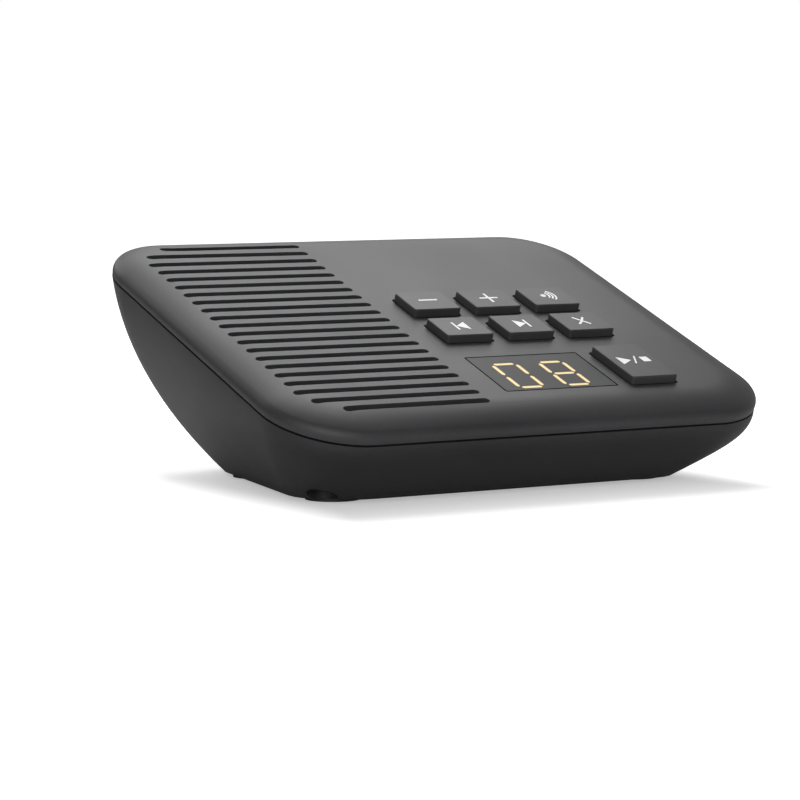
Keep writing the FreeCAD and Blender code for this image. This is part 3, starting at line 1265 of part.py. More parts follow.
for i, kind in enumerate(kinds):
    a, b = vecs[i], vecs[(i + 1) % 8]
    if kind == "line":
        draw.sk.addGeometry(Part.LineSegment(a, b), False)
    else:
        r = inner_r if i == 2 else outer_r
        circle = Part.Circle(FreeCAD.Vector(centre_y.value, centre_z.value, 0),
                             FreeCAD.Vector(0, 0, 1), r.value)
        draw.sk.addGeometry(Part.ArcOfCircle(circle, 0.0, math.radians(SIZE["tilt"])), False)
for i in range(8):
    j = (i + 1) % 8
    here = 1 if i == 2 else 2
    there = 2 if j == 2 else 1
    draw.rule("Coincident", i, here, j, there)
for i in range(8):
    if i == 2:
        draw.point(2, 2, *pts[2])
    else:
        draw.point(i, 1, *pts[i])
draw.hold(inner_r, "Radius", 2)
draw.hold(outer_r, "Radius", 6)
lead.Tip = pad(lead, "lead_strip", draw, S("lead_width"))
node(lead)
node(block("main_board_plug", upright, S("lead_x"), end_y, MAIN_TOP, S("plug_width"),
           S("plug_depth"), S("plug_height")), "main_board_plug")

doc.recompute()
os.makedirs("parts", exist_ok=True)
failed = [thing.Label for thing in doc.Objects
          if "Invalid" in thing.State or "Error" in thing.State]
if failed:
    raise RuntimeError("not built: " + ", ".join(failed))
for thing in doc.Objects:
    before = getattr(thing, "BaseFeature", None)
    if before is None or thing.TypeId == "PartDesign::Body":
        continue
    change = thing.Shape.Volume - before.Shape.Volume
    if "Pocket" in thing.TypeId or "Subtractive" in thing.TypeId:
        change = -change
    elif "Pad" not in thing.TypeId and "Additive" not in thing.TypeId:
        continue
    if change < 0.01:
        raise RuntimeError("%s changes nothing" % thing.Label)
names = [thing.Label for thing in NODES]
if len(set(names)) != len(names):
    raise RuntimeError("two pieces share a name")
for thing in NODES:
    shape = thing.Shape
    if shape.isNull() or not shape.isValid() or not shape.Solids:
        raise RuntimeError("%s has no valid solid" % thing.Label)
for thing in NODES:
    thing.Shape.exportStep(os.path.join("parts", thing.Label + ".step"))
    box = thing.Shape.BoundBox
    print("%-20s %3d solids %9.1f mm3  x %6.1f %6.1f  y %6.1f %6.1f  z %5.1f %5.1f" % (
        thing.Label, len(thing.Shape.Solids), thing.Shape.Volume, box.XMin, box.XMax,
        box.YMin, box.YMax, box.ZMin, box.ZMax))
print(len(NODES), "nodes")
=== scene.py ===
import math

import bmesh
import bpy
from mathutils import Euler, Matrix, Vector


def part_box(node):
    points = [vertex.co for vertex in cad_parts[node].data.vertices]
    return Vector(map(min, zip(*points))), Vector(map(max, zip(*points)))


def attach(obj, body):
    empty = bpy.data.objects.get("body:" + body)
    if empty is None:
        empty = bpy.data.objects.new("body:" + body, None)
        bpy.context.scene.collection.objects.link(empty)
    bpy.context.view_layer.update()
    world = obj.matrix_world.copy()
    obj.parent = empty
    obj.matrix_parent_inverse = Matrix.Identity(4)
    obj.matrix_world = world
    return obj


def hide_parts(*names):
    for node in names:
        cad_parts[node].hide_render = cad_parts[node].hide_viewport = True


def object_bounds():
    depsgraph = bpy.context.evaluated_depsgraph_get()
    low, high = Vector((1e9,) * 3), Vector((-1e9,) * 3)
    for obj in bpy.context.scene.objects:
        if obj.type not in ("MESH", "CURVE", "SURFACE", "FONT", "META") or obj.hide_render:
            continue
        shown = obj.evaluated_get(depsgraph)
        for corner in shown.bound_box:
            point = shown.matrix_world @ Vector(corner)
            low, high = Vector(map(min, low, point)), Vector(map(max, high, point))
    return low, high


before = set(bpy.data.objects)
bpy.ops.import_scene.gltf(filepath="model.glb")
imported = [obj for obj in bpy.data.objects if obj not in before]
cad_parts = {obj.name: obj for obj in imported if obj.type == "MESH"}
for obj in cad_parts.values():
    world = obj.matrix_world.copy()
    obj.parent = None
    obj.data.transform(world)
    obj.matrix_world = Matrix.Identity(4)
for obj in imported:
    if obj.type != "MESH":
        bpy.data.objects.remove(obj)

# A desktop answering machine in charcoal plastic on a white studio floor. The scene is in metres.
# Measures written here are in millimetres and are multiplied by MM. Only the camera, the lights
# and the floor's size are given in metres.
MM = 0.001
CAD_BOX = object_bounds()

# The sloping top face, in the part's own measures. u is X, v runs up the slope, n stands on it.
# The key caps stand this proud of it, about these middles (u, v).
TILT = math.radians(20.0)
FACE_MIDDLE = Vector((0, -1.382, 38.1)) * MM
SLOPE = Matrix.Translation(FACE_MIDDLE) @ Matrix.Rotation(TILT, 4, "X")
KEY_PROUD = 1.9
KEY_MIDDLES = {
    "minus_key": (0.3, 5.85),
    "plus_key": (17.37, 5.85),
    "paging_key": (34.44, 5.85),
    "skip_back_key": (0.3, -9.4),
    "skip_forward_key": (17.37, -9.4),
    "delete_key": (34.44, -9.4),
    "play_stop_key": (34.44, -32.7),
}


def on_slope(u, v, n):
    """The place in the scene of a point given in the slope's millimetres."""
    return SLOPE @ (Vector((u, v, n)) * MM)


def linear(hex_colour):
    """An sRGB hex colour as a linear RGBA tuple."""
    parts = [int(hex_colour[i:i + 2], 16) / 255 for i in (1, 3, 5)]
    return tuple(c / 12.92 if c <= 0.04045 else ((c + 0.055) / 1.055) ** 2.4
                 for c in parts) + (1.0,)


def add(tree, kind, settings=None, sockets=None):
    """Adds a node, sets its options, and sets or links its inputs."""
    made = tree.nodes.new(kind)
    for name, value in (settings or {}).items():
        setattr(made, name, value)
    for name, value in (sockets or {}).items():
        if isinstance(value, bpy.types.NodeSocket):
            tree.links.new(value, made.inputs[name])
        else:
            made.inputs[name].default_value = value
    return made


def blank(name):
    """A material, its node tree with no other nodes, and the object's own coordinates."""
    material = bpy.data.materials.new(name)
    material.use_nodes = True
    tree = material.node_tree
    tree.nodes.clear()
    return material, tree, add(tree, "ShaderNodeTexCoord").outputs["Object"]


def finished(material, surface):
    """Joins a shader to the material's output."""
    add(material.node_tree, "ShaderNodeOutputMaterial", sockets={"Surface": surface})
    return material


def blend(tree, factor, dark, light):
    """A colour between two hex colours. A colour mix has its two at 6 and 7, and gives 2."""
    return add(tree, "ShaderNodeMix", {"data_type": "RGBA"}, {
        "Factor": factor, 6: linear(dark), 7: linear(light)}).outputs[2]


def seen_directly(tree):
    """1 for rays that come straight from the camera or through glass, and else 0."""
    ray = add(tree, "ShaderNodeLightPath")
    return add(tree, "ShaderNodeMath", {"operation": "MAXIMUM"}, {
        0: ray.outputs["Is Camera Ray"], 1: ray.outputs["Is Transmission Ray"]}).outputs[0]


def per_mm(size_mm):
    """The scale at which a noise or cell texture's features come out this large."""
    return 1.0 / (size_mm * MM)


# Finishes. Each starts from the real material and the way that its surface was made.
HANDLED_PATCH_MM = 28.0


def spark_eroded_plastic(name, light, dark, roughness, grain_mm, depth_mm):
    """Moulded ABS from a spark-eroded tool: a fine even grain that spreads the gloss, with
    faint cloudy patches from handling."""
    material, tree, place = blank(name)
    grain = add(tree, "ShaderNodeTexNoise", sockets={
        "Vector": place, "Scale": per_mm(grain_mm), "Detail": 3.0, "Roughness": 0.6})
    patches = add(tree, "ShaderNodeTexNoise", sockets={
        "Vector": place, "Scale": per_mm(HANDLED_PATCH_MM), "Detail": 4.0, "Roughness": 0.55})
    shade = add(tree, "ShaderNodeMapRange", sockets={
        "Value": patches.outputs["Fac"], "From Min": 0.3, "From Max": 0.7})
    speck = add(tree, "ShaderNodeMapRange", sockets={
        "Value": grain.outputs["Fac"], "From Min": 0.35, "From Max": 0.65,
        "To Min": -0.25, "To Max": 0.25})
    mixed = add(tree, "ShaderNodeMath", {"operation": "ADD", "use_clamp": True}, {
        0: shade.outputs["Result"], 1: speck.outputs["Result"]})
    colour = blend(tree, mixed.outputs[0], dark, light)
    gloss = add(tree, "ShaderNodeMapRange", sockets={
        "Value": patches.outputs["Fac"], "From Min": 0.3, "From Max": 0.7,
        "To Min": roughness - 0.03, "To Max": roughness + 0.03})
    bump = add(tree, "ShaderNodeBump", sockets={
        "Height": grain.outputs["Fac"], "Strength": 0.5, "Distance": depth_mm * MM})
    plastic = add(tree, "ShaderNodeBsdfPrincipled", sockets={
        "Base Color": colour, "Roughness": gloss.outputs["Result"],
        "Normal": bump.outputs["Normal"], "IOR": 1.52})
    return finished(material, plastic.outputs[0])


def moulded_rubber(name, light, dark, roughness, shine=0.35):
    """Moulded rubber: dull, with a faint bloom and dust held in a pebbly surface."""
    material, tree, place = blank(name)
    bloom = add(tree, "ShaderNodeTexNoise", sockets={
        "Vector": place, "Scale": per_mm(3.0), "Detail": 5.0, "Roughness": 0.65})
    pebble = add(tree, "ShaderNodeTexVoronoi", sockets={
        "Vector": place, "Scale": per_mm(0.5)})
    colour = blend(tree, bloom.outputs["Fac"], dark, light)
    bump = add(tree, "ShaderNodeBump", sockets={
        "Height": pebble.outputs["Distance"], "Strength": 0.4, "Distance": 0.03 * MM})
    rubber = add(tree, "ShaderNodeBsdfPrincipled", sockets={
        "Base Color": colour, "Roughness": roughness,
        "Normal": bump.outputs["Normal"], "IOR": 1.5, "Specular IOR Level": shine})
    return finished(material, rubber.outputs[0])


def plated_metal(name, light, dark, roughness, brush_mm):
    """Plated or drawn metal: fine lines one way, and a little cloudiness."""
    material, tree, place = blank(name)
    stretched = add(tree, "ShaderNodeMapping", sockets={
        "Vector": place, "Scale": (1.0, 1.0, 12.0)})
    lines = add(tree, "ShaderNodeTexNoise", sockets={
        "Vector": stretched.outputs[0], "Scale": per_mm(brush_mm), "Detail": 3.0})
    colour = blend(tree, lines.outputs["Fac"], dark, light)
    gloss = add(tree, "ShaderNodeMapRange", sockets={
        "Value": lines.outputs["Fac"], "To Min": roughness - 0.08, "To Max": roughness + 0.08})
    metal = add(tree, "ShaderNodeBsdfPrincipled", sockets={
        "Base Color": colour, "Metallic": 1.0, "Roughness": gloss.outputs["Result"]})
    return finished(material, metal.outputs[0])


def woven_cloth(name, light, dark, thread_mm):
    """Open plain weave: threads cross at right angles with gaps between."""
    material, tree, place = blank(name)
    level = add(tree, "ShaderNodeMapping", sockets={"Vector": place, "Rotation": (-TILT, 0, 0)})
    bands = []
    for direction in ("X", "Y"):
        band = add(tree, "ShaderNodeTexWave", {"bands_direction": direction}, {
            "Vector": level.outputs[0], "Scale": per_mm(thread_mm) / (2 * math.pi) * 0.5})
        bands.append(band.outputs["Fac"])
    crossed = add(tree, "ShaderNodeMath", {"operation": "MULTIPLY"}, {0: bands[0], 1: bands[1]})
    colour = blend(tree, crossed.outputs[0], dark, light)
    bump = add(tree, "ShaderNodeBump", sockets={
        "Height": crossed.outputs[0], "Strength": 0.7, "Distance": 0.1 * MM})
    cloth = add(tree, "ShaderNodeBsdfPrincipled", sockets={
        "Base Color": colour, "Roughness": 0.9, "Normal": bump.outputs["Normal"],
        "Sheen Weight": 0.1})
    return finished(material, cloth.outputs[0])


def circuit_board():
    """Glass-fibre laminate under green solder mask: the weave shows faintly and copper
    tracks stand as lighter lines."""
    material, tree, place = blank("solder_masked_laminate")
    tracks = add(tree, "ShaderNodeTexBrick", {"offset": 0.35, "squash": 1.6}, {
        "Vector": place, "Scale": per_mm(14.0), "Mortar Size": 0.035,
        "Color1": linear("#1b4a2a"), "Color2": linear("#174024"), "Mortar": linear("#3d7a45")})
    weave = add(tree, "ShaderNodeTexNoise", sockets={
        "Vector": place, "Scale": per_mm(0.8), "Detail": 2.0})
    bump = add(tree, "ShaderNodeBump", sockets={
        "Height": weave.outputs["Fac"], "Strength": 0.3, "Distance": 0.03 * MM})
    mask = add(tree, "ShaderNodeBsdfPrincipled", sockets={
        "Base Color": tracks.outputs["Color"], "Roughness": 0.35, "IOR": 1.5,
        "Normal": bump.outputs["Normal"]})
    return finished(material, mask.outputs[0])


def pressed_paper():
    """Speaker cone paper: matted fibres, dull and slightly mottled."""
    material, tree, place = blank("pressed_cone_paper")
    fibres = add(tree, "ShaderNodeTexNoise", sockets={
        "Vector": place, "Scale": per_mm(0.6), "Detail": 6.0, "Distortion": 1.5})
    colour = blend(tree, fibres.outputs["Fac"], "#1c1b19", "#35332f")
    bump = add(tree, "ShaderNodeBump", sockets={
        "Height": fibres.outputs["Fac"], "Strength": 0.5, "Distance": 0.05 * MM})
    paper = add(tree, "ShaderNodeBsdfPrincipled", sockets={
        "Base Color": colour, "Roughness": 0.9, "Normal": bump.outputs["Normal"]})
    return finished(material, paper.outputs[0])


def lit_amber(name, dark, light, base, roughness, patch_mm, detail, strength):
    """Amber light that shows through the smoked window, a little uneven along its length."""
    material, tree, place = blank(name)
    uneven = add(tree, "ShaderNodeTexNoise", sockets={
        "Vector": place, "Scale": per_mm(patch_mm), "Detail": detail})
    colour = blend(tree, uneven.outputs["Fac"], dark, light)
    amber = add(tree, "ShaderNodeBsdfPrincipled", sockets={
        "Base Color": linear(base), "Roughness": roughness,
        "Emission Color": colour, "Emission Strength": strength})
    return finished(material, amber.outputs[0])


def printed_ink():
    """White pad-printed ink: opaque, satin, a little thinner in places. It also glows faintly,
    painted light that makes it read brighter.
    """
    material, tree, place = blank("white_pad_print_painted_glow")
    thin = add(tree, "ShaderNodeTexNoise", sockets={
        "Vector": place, "Scale": per_mm(0.4), "Detail": 3.0})
    colour = blend(tree, thin.outputs["Fac"], "#e4e4e4", "#ffffff")
    # The ink's faint glow is painted light: the ink is no lamp.
    ink = add(tree, "ShaderNodeBsdfPrincipled", sockets={
        "Base Color": colour, "Roughness": 0.5,
        "Emission Color": colour, "Emission Strength": 0.3})
    return finished(material, ink.outputs[0])


COVER_PLASTIC = spark_eroded_plastic("charcoal_abs", "#414143", "#3a3a3c", 0.5, 0.45, 0.02)
SHELL_PLASTIC = spark_eroded_plastic("dark_abs", "#2f2f31", "#29292b", 0.55, 0.45, 0.02)
KEY_PLASTIC = spark_eroded_plastic("key_cap_abs", "#434345", "#3d3d3f", 0.48, 0.4, 0.015)
WINDOW_PLASTIC = spark_eroded_plastic("smoked_window_plastic", "#2b2d2c", "#272928", 0.55, 0.4,
                                      0.006)
SOCKET_PLASTIC = spark_eroded_plastic("black_nylon", "#161616", "#101010", 0.45, 0.5, 0.01)
FOOT_RUBBER = moulded_rubber("grey_foot_rubber", "#57575a", "#444446", 0.8)
MAT_RUBBER = moulded_rubber("silicone_key_mat", "#7c7d80", "#6d6e71", 0.6)
# Dull black with almost no shine: painted shade in the gaps round the window and keys and in the
# joint.
GAP_SHADE_BLACK = moulded_rubber("painted_gap_shade_black", "#0a0a0a", "#030303", 1.0, 0.02)
DARK_RUBBER = moulded_rubber("black_rubber", "#1d1d1d", "#131313", 0.75)
SCREW_STEEL = plated_metal("zinc_plated_steel", "#b9b9b4", "#8d8d88", 0.35, 0.5)
PRESSED_STEEL = plated_metal("pressed_steel", "#8f8f8f", "#6c6c6c", 0.4, 0.8)
BLACK_STEEL = plated_metal("black_phosphated_steel", "#242425", "#161617", 0.6, 0.8)
FERRITE = spark_eroded_plastic("sintered_ferrite", "#2e2d2c", "#1f1e1e", 0.6, 0.3, 0.03)
COPPER_WIRE = plated_metal("wound_copper", "#b87345", "#8a4f2c", 0.35, 0.2)
GOLD_WIRE = plated_metal("gold_plated_wire", "#d9b45e", "#b98f3c", 0.3, 0.3)
SPEAKER_CLOTH = woven_cloth("black_speaker_cloth", "#242424", "#080808", 0.5)
SPEAKER_FOAM = moulded_rubber("open_cell_foam", "#2a2a2a", "#171717", 0.95)
CHIP_EPOXY = spark_eroded_plastic("moulded_epoxy", "#1b1b1c", "#131314", 0.6, 0.25, 0.02)
CAN_SLEEVE = spark_eroded_plastic("shrunk_pvc_sleeve", "#18233f", "#121b33", 0.3, 1.5, 0.005)
WINDING_TAPE = spark_eroded_plastic("polyester_tape", "#c7a63a", "#b4932d", 0.3, 2.0, 0.01)
FLAT_LEAD = spark_eroded_plastic("pvc_flat_lead", "#a3a39d", "#92928c", 0.5, 0.6, 0.01)
PLUG_NYLON = spark_eroded_plastic("natural_nylon", "#dcd8c8", "#cdc8b6", 0.45, 0.6, 0.01)
LIT_BAR = lit_amber("lit_amber_bar", "#ecd08a", "#f6e2a8", "#2a2418", 0.4, 1.6, 1.0, 0.92)
LIT_FRINGE = lit_amber("amber_light_spread", "#94641f", "#a87a34", "#3a2f20", 0.5, 1.1, 2.0, 0.8)
CONE_PAPER = pressed_paper()
BOARD_LAMINATE = circuit_board()
PRINT_INK_PAINTED_GLOW = printed_ink()

FINISH_OF = {
    "top_cover": COVER_PLASTIC, "lower_shell": SHELL_PLASTIC, "rubber_feet": FOOT_RUBBER,
    "case_screws": SCREW_STEEL, "key_mat": MAT_RUBBER, "key_board": BOARD_LAMINATE,
    "key_board_screws": SCREW_STEEL, "display_window": WINDOW_PLASTIC,
    "display_digits": LIT_BAR, "display_module": SOCKET_PLASTIC,
    "speaker_cloth": SPEAKER_CLOTH, "speaker_gasket": SPEAKER_FOAM,
    "speaker_basket": BLACK_STEEL, "speaker_magnet": FERRITE, "speaker_yoke": BLACK_STEEL,
    "speaker_cone": CONE_PAPER, "speaker_dust_cap": CONE_PAPER, "speaker_coil": COPPER_WIRE,
    "speaker_surround": DARK_RUBBER, "speaker_washers": BLACK_STEEL,
    "speaker_screws": BLACK_STEEL, "microphone_boot": DARK_RUBBER,
    "microphone": PRESSED_STEEL, "main_board": BOARD_LAMINATE,
    "main_board_screws": SCREW_STEEL,
    "processor_chip": CHIP_EPOXY, "memory_chip": CHIP_EPOXY,
    "line_transformer": WINDING_TAPE, "capacitors": CAN_SLEEVE, "line_socket": SOCKET_PLASTIC,
    "line_contacts": GOLD_WIRE, "power_socket": SOCKET_PLASTIC, "power_pin": SCREW_STEEL,
    "key_board_plug": PLUG_NYLON, "board_lead": FLAT_LEAD, "main_board_plug": PLUG_NYLON,
    **{key: KEY_PLASTIC for key in KEY_MIDDLES},
}

for name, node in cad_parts.items():
    for slot in node.material_slots:
        slot.material = FINISH_OF[name]


# The two mouldings. The photograph's cover and shell meet flush in a thin dark joint, and the
# shell's front corners are rounder than the solids', so both are eased out to that form here.
# RIM is the cover's widest edge, as the solids have it. The N heights are over the sloping face.
# A tuck is how far the joint stands back from the widest edge.
RIM_HALF, RIM_REACH, RIM_RADIUS = 65.3, 54.3, 20.0
WIDEST_N, PARTING_N, SHELL_TOP_N = -4.2, -5.0, -5.5
BASE_Z, BASE_REAR = 1.0, 46.6
SOLID_TUCK, FLUSH_TUCK, TUCK_SLACK = 1.6, 0.1, 0.1
SOLID_BASE = {"tuck": SOLID_TUCK, "front_half": 51.0, "rear_half": 38.5, "front": -31.8,
              "front_radius": 8.0, "rear_radius": 22.0, "bow": 1.0, "round_bow": 1.0,
              "front_rim": RIM_RADIUS, "rear_rim": RIM_RADIUS}
SEEN_BASE = {"tuck": FLUSH_TUCK, "front_half": 53.85, "rear_half": 36.72, "front": -34.9,
             "front_radius": 13.5, "rear_radius": 24.38, "bow": 0.86, "round_bow": -0.13,
             "front_rim": 19.0, "rear_rim": 17.6}
# How deep from the outer face a moulding follows it fully, and from where not at all.
SHELL_FOLLOWS, COVER_FOLLOWS = (3.2, 9.0), (3.5, 14.0)
# Round the front wells and feet, the shell stays as it is but for this thickness of skin.
SKIN, KEPT_RADIUS = 0.3, 6.5
KEPT_SPOTS = [Vector((side * across, along))
              for across, along in ((47.0, -30.5), (40.9, -22.4)) for side in (1, -1)]
# Points past the shell's ends by more than this share of its height stay too, and a point is
# brought to its depth in this many steps.
PAST_ENDS, STEPS_TO_DEPTH = 0.01, 3
# Points this near are merged or count as on a cut, the shell is cut this often, and edges that
# turn by more than this many degrees look sharp.
MERGE_MM, ON_PLANE_MM, CUT_MM, SHARP_ANGLE = 0.002, 0.0005, 3.0, 32


def depth_in(corners, radii, point):
    """How far a point lies inside a rounded outline, and the way out of it."""
    sides = []
    for i, corner in enumerate(corners):
        along = (corners[(i + 1) % len(corners)] - corner).normalized()
        sides.append((along, Vector((along.y, -along.x))))
    depth, out = min((((corner - point).dot(out), out)
                      for corner, (along, out) in zip(corners, sides)), key=lambda d: d[0])
    for i, corner in enumerate(corners):
        (before, out_a), (after, out_b) = sides[i - 1], sides[i]
        centre = corner - (out_a + out_b) * (radii[i] / (1 + out_a.dot(out_b)))
        spoke = point - centre
        if spoke.dot(before) > 0 and spoke.dot(after) < 0:
            return radii[i] - spoke.length, spoke.normalized()
    return depth, out


def brought_to(depth, corners, radii, start):
    """A point moved across a rounded outline until it lies this far inside."""
    point = start.copy()
    for _ in range(STEPS_TO_DEPTH):
        now, out = depth_in(corners, radii, point)
        point += out * (now - depth)
    return point


def shell_section(base, part):
    """The shell's outline on the plane that is this part of the way from joint to base: the
    plane's tilt, and four corners with their radii."""
    tilt = math.atan((1 - part) * math.tan(TILT))
    reach = RIM_REACH - base["tuck"]
    bend = (1 - base["bow"]) * part + base["bow"] * part * part
    turn = (1 - base["round_bow"]) * part + base["round_bow"] * part * part
    spots, radii = [], []
    for sign, half_base, y_base, r_base, rim in (
            (-1, base["front_half"], base["front"], base["front_radius"], base["front_rim"]),
            (1, base["rear_half"], BASE_REAR, base["rear_radius"], base["rear_rim"])):
        y_top = on_slope(0, sign * reach, SHELL_TOP_N).y / MM
        x = RIM_HALF - base["tuck"]
        x += (half_base - x) * bend
        y = y_top + (y_base - y_top) * bend
        r_top = rim - base["tuck"]
        spots.append((x, y / math.cos(tilt)))
        radii.append(r_top + (r_base - r_top) * turn)
    (fx, fy), (rx, ry) = spots
    corners = [Vector((-fx, fy)), Vector((fx, fy)), Vector((rx, ry)), Vector((-rx, ry))]
    return tilt, corners, [radii[0], radii[0], radii[1], radii[1]]


def joint_height(y):
    """Height of the shell's top edge over this y, in millimetres."""
    edge = on_slope(0, 0, SHELL_TOP_N)
    return edge.z / MM + (y - edge.y / MM) * math.tan(TILT)


def eased(depth, full, none):
    """1 down to one depth, and then smoothly 0 at the other."""
    share = min(max((none - depth) / (none - full), 0.0), 1.0)
    return share * share * (3 - 2 * share)


def eased_shell(place):
    """Where a point of the solid shell lies on the photographed one, in millimetres."""
    x, y, z = place
    part = 1 - (z - BASE_Z) / (joint_height(y) - BASE_Z)
    if part < -PAST_ENDS or part > 1 + PAST_ENDS:
        return place
    part = min(max(part, 0.0), 1.0)
    tilt, corners, radii = shell_section(SOLID_BASE, part)
    start = Vector((x, y / math.cos(tilt)))
    depth, _ = depth_in(corners, radii, start)
    if depth > SKIN and any((Vector((x, y)) - spot).length < KEPT_RADIUS for spot in KEPT_SPOTS):
        return place
    tilt, corners, radii = shell_section(SEEN_BASE, part)
    point = start.lerp(brought_to(depth, corners, radii, start), eased(depth, *SHELL_FOLLOWS))
    y = point.y * math.cos(tilt)
    return Vector((point.x, y, BASE_Z + (1 - part) * (joint_height(y) - BASE_Z)))


def eased_cover(place):
    """The cover's corners a little tighter, and its lowest edge moved out to the widest one."""
    u, v, n = SLOPE.inverted() @ (place * MM) / MM
    corners = [Vector((-RIM_HALF, -RIM_REACH)), Vector((RIM_HALF, -RIM_REACH)),
               Vector((RIM_HALF, RIM_REACH)), Vector((-RIM_HALF, RIM_REACH))]
    start = Vector((u, v))
    depth, _ = depth_in(corners, [RIM_RADIUS] * 4, start)
    below = (WIDEST_N - n) / (WIDEST_N - PARTING_N)
    wanted = depth
    if below > 0 and depth < SOLID_TUCK + TUCK_SLACK:
        wanted = depth - (SOLID_TUCK - FLUSH_TUCK) * below
    front, rear = SEEN_BASE["front_rim"], SEEN_BASE["rear_rim"]
    point = start.lerp(brought_to(wanted, corners, [front, front, rear, rear], start),
                       eased(depth, *COVER_FOLLOWS))
    return on_slope(point.x, point.y, n) / MM


def piece_of(name, made, material, body):
    """Puts a finished bmesh in the scene, as a piece of this body and material slot."""
    bmesh.ops.recalc_face_normals(made, faces=made.faces)
    mesh = bpy.data.meshes.new(name)
    made.to_mesh(mesh)
    made.free()
    mesh.materials.append(material)
    piece = bpy.data.objects.new(name, mesh)
    bpy.context.scene.collection.objects.link(piece)
    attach(piece, body)
    return piece


def moulding(name, node, ease, cut_mm=None):
    """A copy of a node's mesh with every point eased, in place of the node. Long faces are
    first cut every cut_mm along X and Y, so that they can bend."""
    made = bmesh.new()
    made.from_mesh(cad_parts[node].data)
    bmesh.ops.remove_doubles(made, verts=made.verts, dist=MERGE_MM * MM)
    low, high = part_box(node)
    for axis, way in enumerate((Vector((1, 0, 0)), Vector((0, 1, 0))) if cut_mm else ()):
        for i in range(1, int((high[axis] - low[axis]) / (cut_mm * MM)) + 1):
            everything = made.verts[:] + made.edges[:] + made.faces[:]
            bmesh.ops.bisect_plane(made, geom=everything, dist=ON_PLANE_MM * MM,
                                   plane_co=way * (low[axis] + i * cut_mm * MM), plane_no=way)
    for vert in made.verts:
        vert.co = ease(vert.co / MM) * MM
        vert.co.y = min(vert.co.y, CAD_BOX[1][1])
    piece = piece_of(name, made, FINISH_OF[node], "case")
    for layer in ("custom_normal", "sharp_face"):
        if layer in piece.data.attributes:
            piece.data.attributes.remove(piece.data.attributes[layer])
    piece.data.set_sharp_from_angle(angle=math.radians(SHARP_ANGLE))
    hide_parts(node)


moulding("shell_moulding", "lower_shell", eased_shell, CUT_MM)
moulding("cover_moulding", "top_cover", eased_cover)

# Pieces on the sloping face are made from flat outlines, in millimetres.
PRINT_THICK = 0.012


def printed(name, outlines, middle, height, body, material, thick=PRINT_THICK):
    """A thin piece at (u, v) and this height over the sloping face, from outlines about it."""
    made = bmesh.new()
    lift = SLOPE.to_3x3() @ Vector((0, 0, thick * MM))
    for outline in outlines:
        face = made.faces.new([made.verts.new(on_slope(u, v, height))
                               for u, v in moved(outline, middle)])
        raised = bmesh.ops.extrude_face_region(made, geom=[face])
        for item in raised["geom"]:
            if isinstance(item, bmesh.types.BMVert):
                item.co += lift
    return piece_of(name, made, material, body)


def rings(name, pairs, low, high, material):
    """Closed rings of the case between two heights over the sloping face, each between an
    outer and an inner outline with as many points."""
    made = bmesh.new()
    for outer, inner in pairs:
        loops = [[made.verts.new(on_slope(u, v, n)) for u, v in outline]
                 for outline, n in ((outer, low), (outer, high), (inner, high), (inner, low))]
        for i, loop in enumerate(loops):
            after = loops[(i + 1) % 4]
            for k in range(len(loop)):
                m = (k + 1) % len(loop)
                made.faces.new((loop[k], loop[m], after[m], after[k]))
    piece_of(name, made, material, "case")


def moved(outline, middle):
    """An outline about its own middle, moved to this one."""
    return [(middle[0] + u, middle[1] + v) for u, v in outline]


def stroke(start, end, width):
    """A straight stroke with square ends."""
    a, b = Vector(start), Vector(end)
    side = (b - a).normalized().orthogonal() * width / 2
    return [tuple(a - side), tuple(b - side), tuple(b + side), tuple(a + side)]


def arc(radius, turns):
    """Points at these angles on a circle about 0, 0."""
    return [(radius * math.cos(turn), radius * math.sin(turn)) for turn in turns]


def arc_stroke(middle, radius, width, spread, steps=14):
    """An arc that opens to the left, spread degrees to either side, with square ends."""
    turns = [math.radians(-spread + 2 * spread * i / steps) for i in range(steps + 1)]
    return moved(arc(radius + width / 2, turns) + arc(radius - width / 2, turns[::-1]), middle)


def disc(middle, radius, steps=28):
    """A round dot."""
    return moved(arc(radius, [2 * math.pi * i / steps for i in range(steps)]), middle)


def rounded_box(half_u, half_v, radii, inset=0.0, steps=5):
    """A rectangle's outline, this far inside, with a radius for each corner: rear right, rear
    left, front left and front right."""
    points = []
    for i, (across, along) in enumerate(((1, 1), (-1, 1), (-1, -1), (1, -1))):
        radius = radii[i]
        turns = [math.radians(90 * (i + k / steps)) for k in range(steps + 1)]
        points += moved(arc(radius - inset, turns),
                        (across * (half_u - radius), along * (half_v - radius)))
    return points


